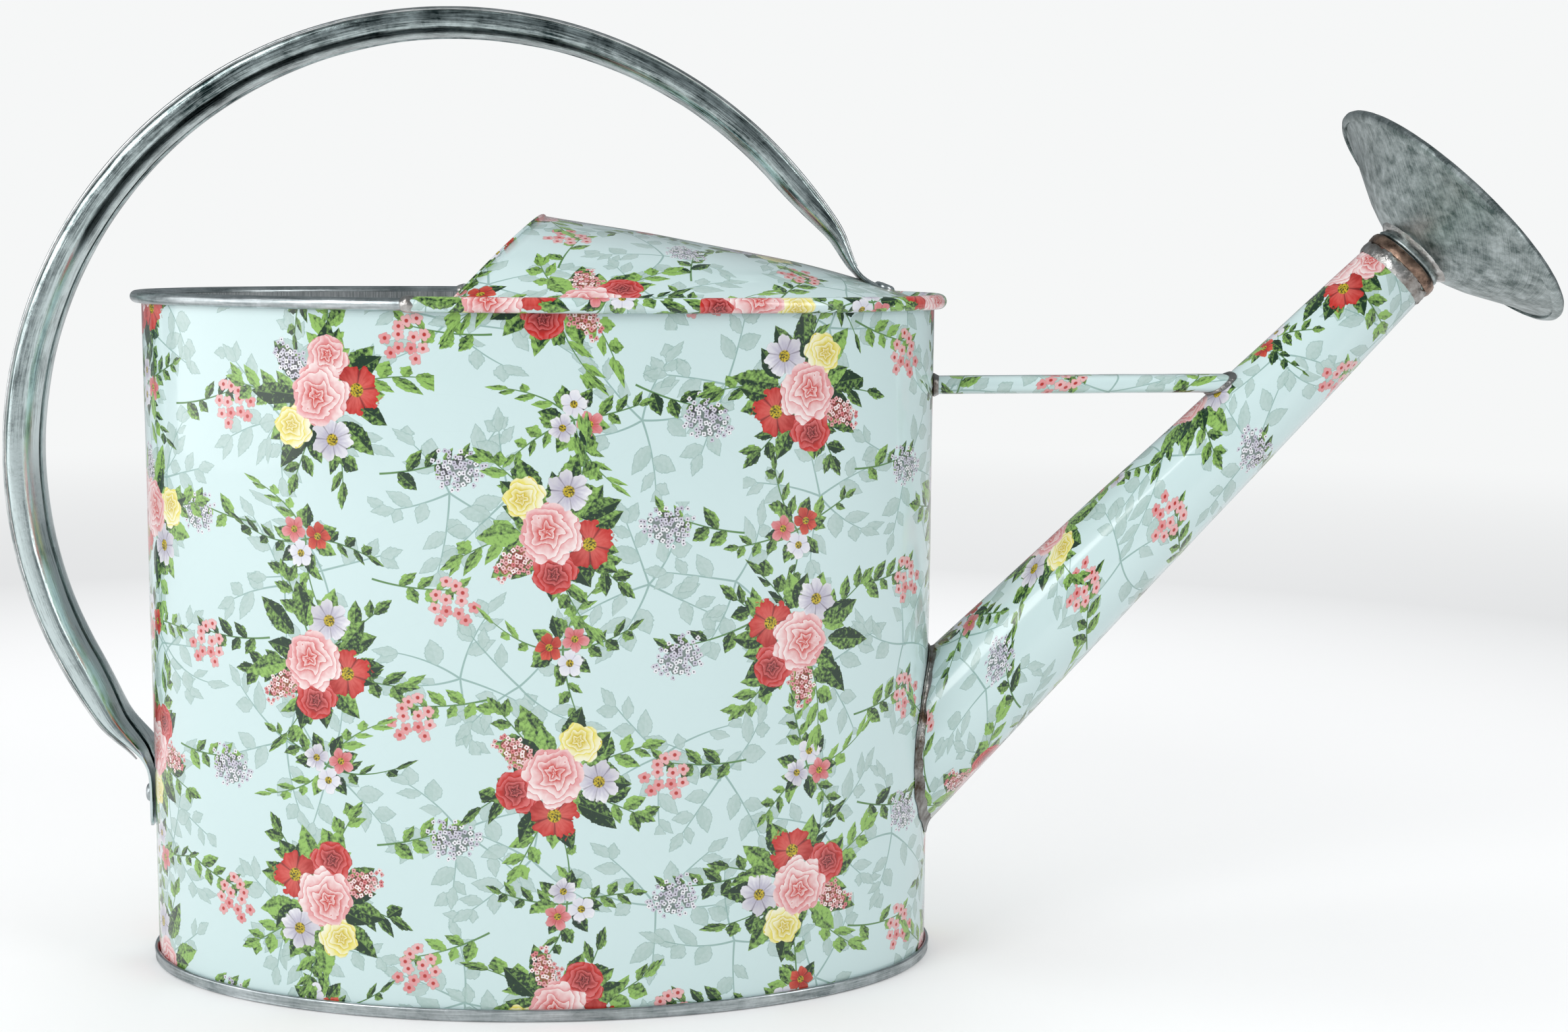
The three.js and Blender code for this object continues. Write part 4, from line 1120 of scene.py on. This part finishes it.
def makeGrip():
    shape = bmesh.new()
    line = gripLine()
    travelled = [0.0]
    for a, b in zip(line, line[1:]):
        travelled.append(travelled[-1] + (b - a).length)
    whole = travelled[-1]
    rings, edges = [], {1: [], -1: []}
    for i, (point, far) in enumerate(zip(line, travelled)):
        way = (line[min(i + 1, len(line) - 1)] - line[max(i - 1, 0)]).normalized()
        inward = Vector((way.y, -way.x))
        atRear = far < whole / 2
        past = min(far - grip["rearFlat"], whole - grip["frontFlat"] - far)
        share = sin(pi / 2 * min(1.0, max(0.0, past / grip["swell"])))  # 0 at a flat foot, 1 in the grip
        nearEnd = min(far, whole - far)
        rounded = sqrt(max(0.0, 1 - (1 - min(1.0, nearEnd / 7 + 0.25)) ** 2))
        depth = grip["footDepth"] + (grip["depth"] - grip["footDepth"]) * share
        width = (grip["footWidth"] + (grip["width"] - grip["footWidth"]) * share) * rounded
        ring = []
        for deep, wide in gripSection(depth, width):
            uneven = wobble((point.x + wide, wide, point.y), grip["dentSize"], grip["uneven"])
            deep += uneven + grip["inset"] * share
            x, z = point.x + inward.x * deep, point.y + inward.y * deep
            if atRear:
                x += wide * wide / grip["rearHug"] * (1 - share)
            else:
                z -= wide * wide / grip["frontHug"] * (1 - share) * 0.9
            ring.append((x, wide, z))
        rings.append(ring)
        for side, tube in edges.items():
            if share > 0.02:
                thick = grip["bead"] * min(1.0, 0.3 + share * 1.5)
                across = roundSection(thick, 10, (thick * 0.8 + grip["inset"] * share, side * width * 0.475))
                tube.append([(point.x + inward.x * deep, wide, point.y + inward.y * deep)
                             for deep, wide in across])
    loft(shape, rings, capped=True)
    # the rolled edges take the second finish, a lighter zinc that is a painted highlight
    for tube in edges.values():
        loft(shape, tube, capped=True, material=lambda i: 1)
    return finishPiece("rolledHandle", shape, [finish["zinc"], finish["edge"]], "can",
                       ["handle"], sharp=50)


def makeRivet(name, at, out, replaced):
    # a set rivet: flat brim, low dome and the dimple left by the punch
    shape = bmesh.new()
    head, dome = rivetShape["head"], rivetShape["dome"]
    outline = [(0.0, 0.45), (rivetShape["dimple"] * 0.6, 0.5), (rivetShape["dimple"], dome * 0.95),
               (head * 0.6, dome), (head * 0.82, dome * 0.78), (head * 0.96, dome * 0.4), (head, 0.12),
               (head, -0.4), (0.0, -0.4)]
    verts = [shape.verts.new((r, 0, h)) for r, h in outline]
    edges = [shape.edges.new(pair) for pair in zip(verts, verts[1:])]
    bmesh.ops.spin(shape, geom=verts + edges, cent=(0, 0, 0), axis=(0, 0, 1), angle=tau,
                   steps=rivetShape["around"], use_merge=True)
    bmesh.ops.remove_doubles(shape, verts=shape.verts, dist=0.01)
    turn = Vector((0, 0, 1)).rotation_difference(Vector(out)).to_matrix()
    bmesh.ops.rotate(shape, cent=(0, 0, 0), matrix=turn, verts=shape.verts)
    bmesh.ops.translate(shape, vec=at, verts=shape.verts)
    return finishPiece(name, shape, [finish["rim"]], "can", [replaced], sharp=60)


makeGrip()
(rearX, rearZ), (frontX, frontZ) = rivetShape["rear"], rivetShape["front"]
for word, side in (("left", -1), ("right", 1)):
    across = rivetShape["spread"] * side
    makeRivet("rearRivet" + word.title(), (rearX + across ** 2 / grip["rearHug"], across, rearZ),
              (-1, across / 46, 0), "rear_rivet_" + word)
    makeRivet("frontRivet" + word.title(), (frontX, across, frontZ - across ** 2 / grip["frontHug"]),
              Vector(rivetShape["frontOut"]).normalized(), "front_rivet_" + word)
print("handle made")


def makeSpout():
    shape = bmesh.new()
    count, steps = spout["around"], spout["steps"]
    angles = [pi + tau * j / count for j in range(count)]
    roots = [spoutRoot(angle) for angle in angles]
    rings = []
    for inner in (0.0, spout["sheet"]):
        ply = []
        for i in range(steps + 1):
            ring = []
            for j, (angle, root) in enumerate(zip(angles, roots)):
                along = root + (spout["length"] - root) * i / steps
                lap = spout["lap"] if j < spout["lapColumns"] else 0.0  # the sheet's overlap underneath
                swell = wobble(spoutPoint(angle, along, 20), spout["dentSize"], spout["uneven"])
                swell *= sin(pi * i / steps)
                ring.append(tuple(spoutPoint(angle, along, spoutRadius(along) + lap - inner + swell)))
            ply.append(ring)
        rings += ply if inner == 0.0 else ply[::-1]
    loft(shape, rings, pathClosed=True, material=lambda i: int(i > steps), start=spout["printStart"])
    return finishPiece("printedSpout", shape, [finish["print"], finish["inner"]], "can",
                       ["spout_tube"])


rootRun = {"around": 140, "out": 2.1, "up": 3.0, "rings": 8, "hollow": 0.45}


def makeRootSolder():
    # a fillet of solder run round the spout's root, lumpy and uneven in width
    shape = bmesh.new()
    rings = []
    for i in range(rootRun["around"]):
        angle = tau * i / rootRun["around"]
        root = spoutRoot(angle)
        corner = spoutPoint(angle, root, spoutRadius(root))
        spreadOut = rootRun["out"] + wobble(corner, 6, 0.9)
        climb = rootRun["up"] + wobble(corner + Vector((40, 0, 0)), 5, 1.5)
        onTube = spoutPoint(angle, root + climb, spoutRadius(root + climb) + 0.15)
        wider = spoutRoot(angle, spreadOut)
        onWall = spoutPoint(angle, wider, spoutRadius(wider) + spreadOut) + Vector((0.15, 0, 0))
        ring = []
        for k in range(rootRun["rings"] + 1):
            t = k / rootRun["rings"]
            point = onTube.lerp(corner, rootRun["hollow"] * sin(pi * t)).lerp(onWall, t) if k else onTube
            outwards = (point - corner).normalized() if (point - corner).length > 0.1 else Vector((1, 0, 0))
            ring.append(tuple(point + outwards * wobble(point, 2.2, 0.35) * sin(pi * t)))
        ring.append(tuple(corner - Vector((0.3, 0, 0))))
        rings.append(ring)
    loft(shape, rings, pathClosed=True)
    return finishPiece("rootSolder", shape, [finish["burnt"]], "can", ["spout_base_solder"],
                       sharp=70)


# outlines as (outwards, along) from the edge of the spout's mouth
mouth = {"around": 96, "solderLumps": 0.9, "ringLumps": 0.1,
         "solder": [(0.25, -8.2), (0.9, -7.2), (1.15, -5.6), (0.85, -3.9), (0.6, -3.45)],
         "ring": [(0.1, -3.4), (1.0, -3.3), (1.35, -2.4), (1.4, -0.6), (1.0, 0.5), (0.1, 0.6)]}


def makeMouth():
    solder = bmesh.new()
    outline = [(spout["tipRadius"] + r, spout["length"] + a) for r, a in mouth["solder"]]
    turned(solder, outline, mouth["around"], mouth["solderLumps"])
    finishPiece("mouthSolder", solder, [finish["solder"]], "can", ["spout_mouth_solder"], sharp=70)
    ring = bmesh.new()
    outline = [(spout["tipRadius"] + r, spout["length"] + a) for r, a in mouth["ring"]]
    turned(ring, outline, mouth["around"], mouth["ringLumps"])
    finishPiece("mouthRing", ring, [finish["ring"]], "can", ["spout_mouth_ring"], sharp=60)


makeSpout()
makeRootSolder()
makeMouth()
print("spout made")


# each solder outline is (along, outwards) from where the strut meets the sheet
strut = {"height": 207.9, "rise": 0.012, "width": 13.0, "depth": 6.6, "squareness": 3.0, "steps": 40,
         "lift": 1.2, "uneven": 0.12, "dentSize": 18, "printStart": 112.0, "printAside": 41.0,
         "solder": [(0.1, 0.15), (0.15, 0.85), (0.7, 0.75), (1.4, 0.4), (1.9, 0.15), (1.0, -0.3)]}


def strutSection(grown=0.0, count=28):
    power = 2 / strut["squareness"]
    made = []
    for i in range(count):
        angle = tau * i / count - pi / 2
        c, s = cos(angle), sin(angle)
        made.append((abs(c) ** power * (1 if c > 0 else -1) * (strut["width"] / 2 + grown),
                     abs(s) ** power * (1 if s > 0 else -1) * (strut["depth"] / 2 + grown)))
    return made


def wallX(y, offset):
    return (oval["halfLength"] + offset) * sqrt(1 - (y / (oval["halfWidth"] + offset)) ** 2)


def spoutX(y, z, offset):
    # where a line along X at this height first meets the spout's wall
    near, far = 150.0, 290.0
    for _ in range(halvings):
        middle = (near + far) / 2
        away = Vector((middle, y, z)) - spout["start"]
        along = away.dot(spoutWay)
        inside = (away - spoutWay * along).length < spoutRadius(along) + offset
        near, far = (near, middle) if inside else (middle, far)
    return near


def strutPoint(x, y, z):
    return (x, y, strut["height"] + (x - 140) * strut["rise"] + z)


def makeStrut():
    shape = bmesh.new()
    rings = []
    for i in range(strut["steps"] + 1):
        ring = []
        for y, z in strutSection():
            end = spoutX(y, strut["height"] + strut["lift"] + z, 0.1)
            x = wallX(y, 0.2) + (end - wallX(y, 0.2)) * i / strut["steps"]
            ring.append(strutPoint(x, y, z + wobble((x, y, z), strut["dentSize"], strut["uneven"])))
        rings.append(ring)
    loft(shape, rings, capped=True, start=strut["printStart"], aside=strut["printAside"])
    return finishPiece("printedBrace", shape, [finish["print"]], "can", ["brace_tube"],
                       sharp=45)


def makeStrutSolder(name, replaced, onWall):
    shape = bmesh.new()
    rings = []
    for reach, grown in strut["solder"]:
        ring = []
        for y, z in strutSection(grown, 40):
            if onWall:
                x = wallX(y, 0.15) + reach
            else:
                x = spoutX(y, strut["height"] + strut["lift"] + z, 0.15) - reach
            lump = wobble((x, y, z + 9), 2.0, 0.3)
            ring.append(strutPoint(x + lump * 0.6, y * (1 + lump * 0.05), z * (1 + lump * 0.06)))
        rings.append(ring)
    loft(shape, rings, pathClosed=True)
    return finishPiece(name, shape, [finish["burnt"]], "can", [replaced], sharp=70)


makeStrut()
makeStrutSolder("braceWallSolder", "brace_body_solder", True)
makeStrutSolder("braceSpoutSolder", "brace_spout_solder", False)
print("brace made")


# outlines as (radius, along from the end of the spout); holes is how many rings stand round the middle one
sprinkler = {
    "neck": [(11.5, -24), (12.1, -24), (12.2, 1.0), (13.2, 1.3), (13.5, 2.1), (13.1, 2.8), (12.5, 3.4),
             (12.4, 4.6), (11.8, 4.6)],
    "solder": [(12.5, 3.5), (13.3, 3.6), (14.3, 4.3), (15.2, 5.3), (12.6, 5.0)],
    "cone": [(12.7, 4.4), (15.5, 5.3), (20, 7.0), (25.5, 9.4), (31, 12.4), (36.5, 15.5), (42, 18.6),
             (46.8, 20.9), (50.2, 22.2), (51.2, 22.9)],
    "rim": 52.0, "dome": 49.5, "domeTop": 29.6, "domeRise": 4.6, "holes": 6, "pitch": 7.2, "hole": 0.85,
    "drillDepth": 14, "sheet": 0.6, "around": 120}


def roseTurned(name, outline, around, lumps, material, replaced, sharp):
    shape = bmesh.new()
    turned(shape, [(r, spout["length"] + a) for r, a in outline], around, lumps)
    finishPiece(name, shape, [finish[material]], "rose", [replaced], sharp=sharp)


def makeNeck():
    roseTurned("roseNeck", sprinkler["neck"], 80, 0.12, "rose", "rose_neck", 60)
    roseTurned("roseNeckSolder", sprinkler["solder"], 96, 0.4, "solder", "rose_neck_solder", 70)


def makeCone():
    # the spun cone, flaring like a shallow trumpet
    inner = [(r - 0.1, a + 0.7) for r, a in sprinkler["cone"][::-1]]
    roseTurned("roseCone", sprinkler["cone"] + inner, sprinkler["around"], 0.1, "rose",
               "rose_cone", 60)


def makeFace():
    # the domed face, its edge folded back over the cone's flange, punched with rings of holes
    length, rim = spout["length"], sprinkler["rim"]
    dome = [(sprinkler["dome"] * i / 12, sprinkler["domeTop"] - sprinkler["domeRise"] * (i / 12) ** 2)
            for i in range(13)]
    fold = [(rim - 1.2, 25.2), (rim - 0.3, 24.7), (rim + 0.3, 23.7), (rim + 0.2, 22.6), (rim - 0.6, 21.8),
            (rim - 2.2, 21.2)]
    back = [(rim - 2.4, 21.9), (rim - 1.2, 22.5), (rim - 0.7, 23.1), (rim - 0.9, 24.0), (rim - 1.8, 24.5)]
    under = [(r, a - sprinkler["sheet"]) for r, a in dome[::-1]]
    shape = bmesh.new()
    outline = [(max(r, 0.001), length + a) for r, a in dome + fold + back + under]
    turned(shape, outline, sprinkler["around"], 0.06)
    bmesh.ops.remove_doubles(shape, verts=shape.verts, dist=0.02)
    piece = finishPiece("roseFace", shape, [finish["rose"]], "rose", ["rose_face_plate"],
                        sharp=60)
    drill = bmesh.new()
    turn = Vector((0, 0, 1)).rotation_difference(spoutWay).to_matrix()
    for ring in range(sprinkler["holes"] + 1):
        count = max(1, 6 * ring)
        for k in range(count):
            middle = spoutPoint(tau * k / count + ring * 0.3, length + 27, ring * sprinkler["pitch"])
            made = bmesh.ops.create_cone(drill, cap_ends=True, segments=10, radius1=sprinkler["hole"],
                                         radius2=sprinkler["hole"], depth=sprinkler["drillDepth"])["verts"]
            bmesh.ops.rotate(drill, cent=(0, 0, 0), matrix=turn, verts=made)
            bmesh.ops.translate(drill, vec=middle, verts=made)
    bmesh.ops.scale(drill, vec=(millimetre,) * 3, verts=drill.verts)
    mesh = bpy.data.meshes.new("drill")
    drill.to_mesh(mesh)
    drill.free()
    cutter = bpy.data.objects.new("drill", mesh)
    bpy.context.collection.objects.link(cutter)
    punch = piece.modifiers.new("punch", "BOOLEAN")
    punch.object = cutter
    punch.solver = "EXACT"
    bpy.context.view_layer.update()
    cut = bpy.data.meshes.new_from_object(piece.evaluated_get(bpy.context.evaluated_depsgraph_get()))
    piece.modifiers.clear()
    piece.data = cut
    bpy.data.objects.remove(cutter)
    cut.polygons.foreach_set("use_smooth", [True] * len(cut.polygons))
    cut.set_sharp_from_angle(angle=radians(35))


makeNeck()
makeCone()
makeFace()
print("rose made")

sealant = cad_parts["base_sealant"]  # shown as it comes from the frame, with the solder's finish
sealant.data.materials.clear()
sealant.data.materials.append(finish["solder"])


# in metres; the camera's yaw, pitch and roll are in radians
studio = {"floor": 6.0, "paint": (0.82, 0.82, 0.82, 1), "fade": (0.5, 2.0), "floorGlow": 0.22,
          "backdrop": (0.92, 0.93, 0.93, 1), "ambient": (0.48, 0.49, 0.5, 1),
          "mirrored": (0.24, 0.26, 0.27, 1)}
view = {"lens": 50.53, "sensor": 36.0, "position": (0.05853, -0.79002, 0.26141), "yaw": 0.0359,
        "pitch": 0.1275, "roll": 0.0083}
lamps = {
    "keyLeft": {"place": (-1.1, -1.3, 1.0), "aim": (0, 0, 0.15), "size": (0.7, 1.2), "power": 10.5},
    "fillRight": {"place": (1.4, -1.0, 0.8), "aim": (0.1, 0, 0.15), "size": (0.5, 1.2), "power": 7},
    "top": {"place": (0, 0.1, 1.7), "aim": (0, 0, 0.1), "size": (1.4, 1.0), "power": 6, "mirrored": False},
    "sideLeft": {"place": (-1.7, -0.5, 0.45), "aim": (-0.1, 0, 0.2), "size": (1.7, 1.2), "power": 9},
    "back": {"place": (0.3, 1.5, 1.1), "aim": (0, 0, 0.2), "size": (1.4, 0.8), "power": 6,
             "mirrored": False}}


def makeStage():
    bpy.ops.mesh.primitive_plane_add(size=studio["floor"], location=(0, 0, -0.0002))
    floor = bpy.context.object
    floor.name = "floor"
    material, tree, shader = newMaterial("paleFloor", Roughness=0.8, Specular_IOR_Level=0.0)
    away = vectorMath(tree, "LENGTH", objectPlace(tree))
    path = tree.nodes.new("ShaderNodeLightPath").outputs["Is Camera Ray"]
    far = tree.nodes.new("ShaderNodeMapRange")  # the floor runs out into the backdrop's own tone
    far.interpolation_type = "SMOOTHSTEP"
    feed(tree, far.inputs["Value"], away)
    far.inputs["From Min"].default_value, far.inputs["From Max"].default_value = studio["fade"]
    fade = calculator(tree)("MULTIPLY", far.outputs[0], path)
    feed(tree, shader["Base Color"], mixColours(tree, fade, studio["paint"], (0, 0, 0, 1)))
    shader["Emission Color"].default_value = studio["backdrop"]
    glow = calculator(tree)("MAXIMUM", fade, calculator(tree)("MULTIPLY", path, studio["floorGlow"]))
    feed(tree, shader["Emission Strength"], glow)
    floor.data.materials.append(material)
    world = bpy.data.worlds.new("studio")
    bpy.context.scene.world = world
    world.use_nodes = True
    tree = world.node_tree
    background = tree.nodes["Background"]
    background.inputs["Strength"].default_value = 1.0
    path = tree.nodes.new("ShaderNodeLightPath").outputs
    room = mixColours(tree, path["Is Glossy Ray"], studio["ambient"], studio["mirrored"])
    feed(tree, background.inputs["Color"], mixColours(tree, path["Is Camera Ray"], room, studio["backdrop"]))


def makeLight(name, place, aim, size, power, mirrored=True):
    data = bpy.data.lights.new(name, "AREA")
    data.shape = "RECTANGLE"
    data.size, data.size_y = size
    data.energy = power
    lamp = bpy.data.objects.new(name, data)
    bpy.context.collection.objects.link(lamp)
    lamp.location = place
    lamp.visible_glossy = mirrored
    lamp.rotation_mode = "QUATERNION"
    lamp.rotation_quaternion = (Vector(aim) - Vector(place)).to_track_quat("-Z", "Y")


def makeCamera():
    yaw, pitch, roll = view["yaw"], view["pitch"], view["roll"]
    ahead = Vector((sin(yaw) * cos(pitch), cos(yaw) * cos(pitch), -sin(pitch)))
    level = Vector((cos(yaw), -sin(yaw), 0))
    upright = level.cross(ahead)
    right = level * cos(roll) + upright * sin(roll)
    up = upright * cos(roll) - level * sin(roll)
    data = bpy.data.cameras.new("camera")
    data.lens = view["lens"]
    data.sensor_width = view["sensor"]
    data.clip_start = 0.01
    camera = bpy.data.objects.new("camera", data)
    bpy.context.collection.objects.link(camera)
    turn = Matrix((right, up, -ahead)).transposed()
    camera.matrix_world = Matrix.Translation(view["position"]) @ turn.to_4x4()
    bpy.context.scene.camera = camera


makeStage()
for name, lamp in lamps.items():
    makeLight(name, **lamp)
makeCamera()
bpy.context.scene.view_settings.view_transform = "Standard"
print("stage made")
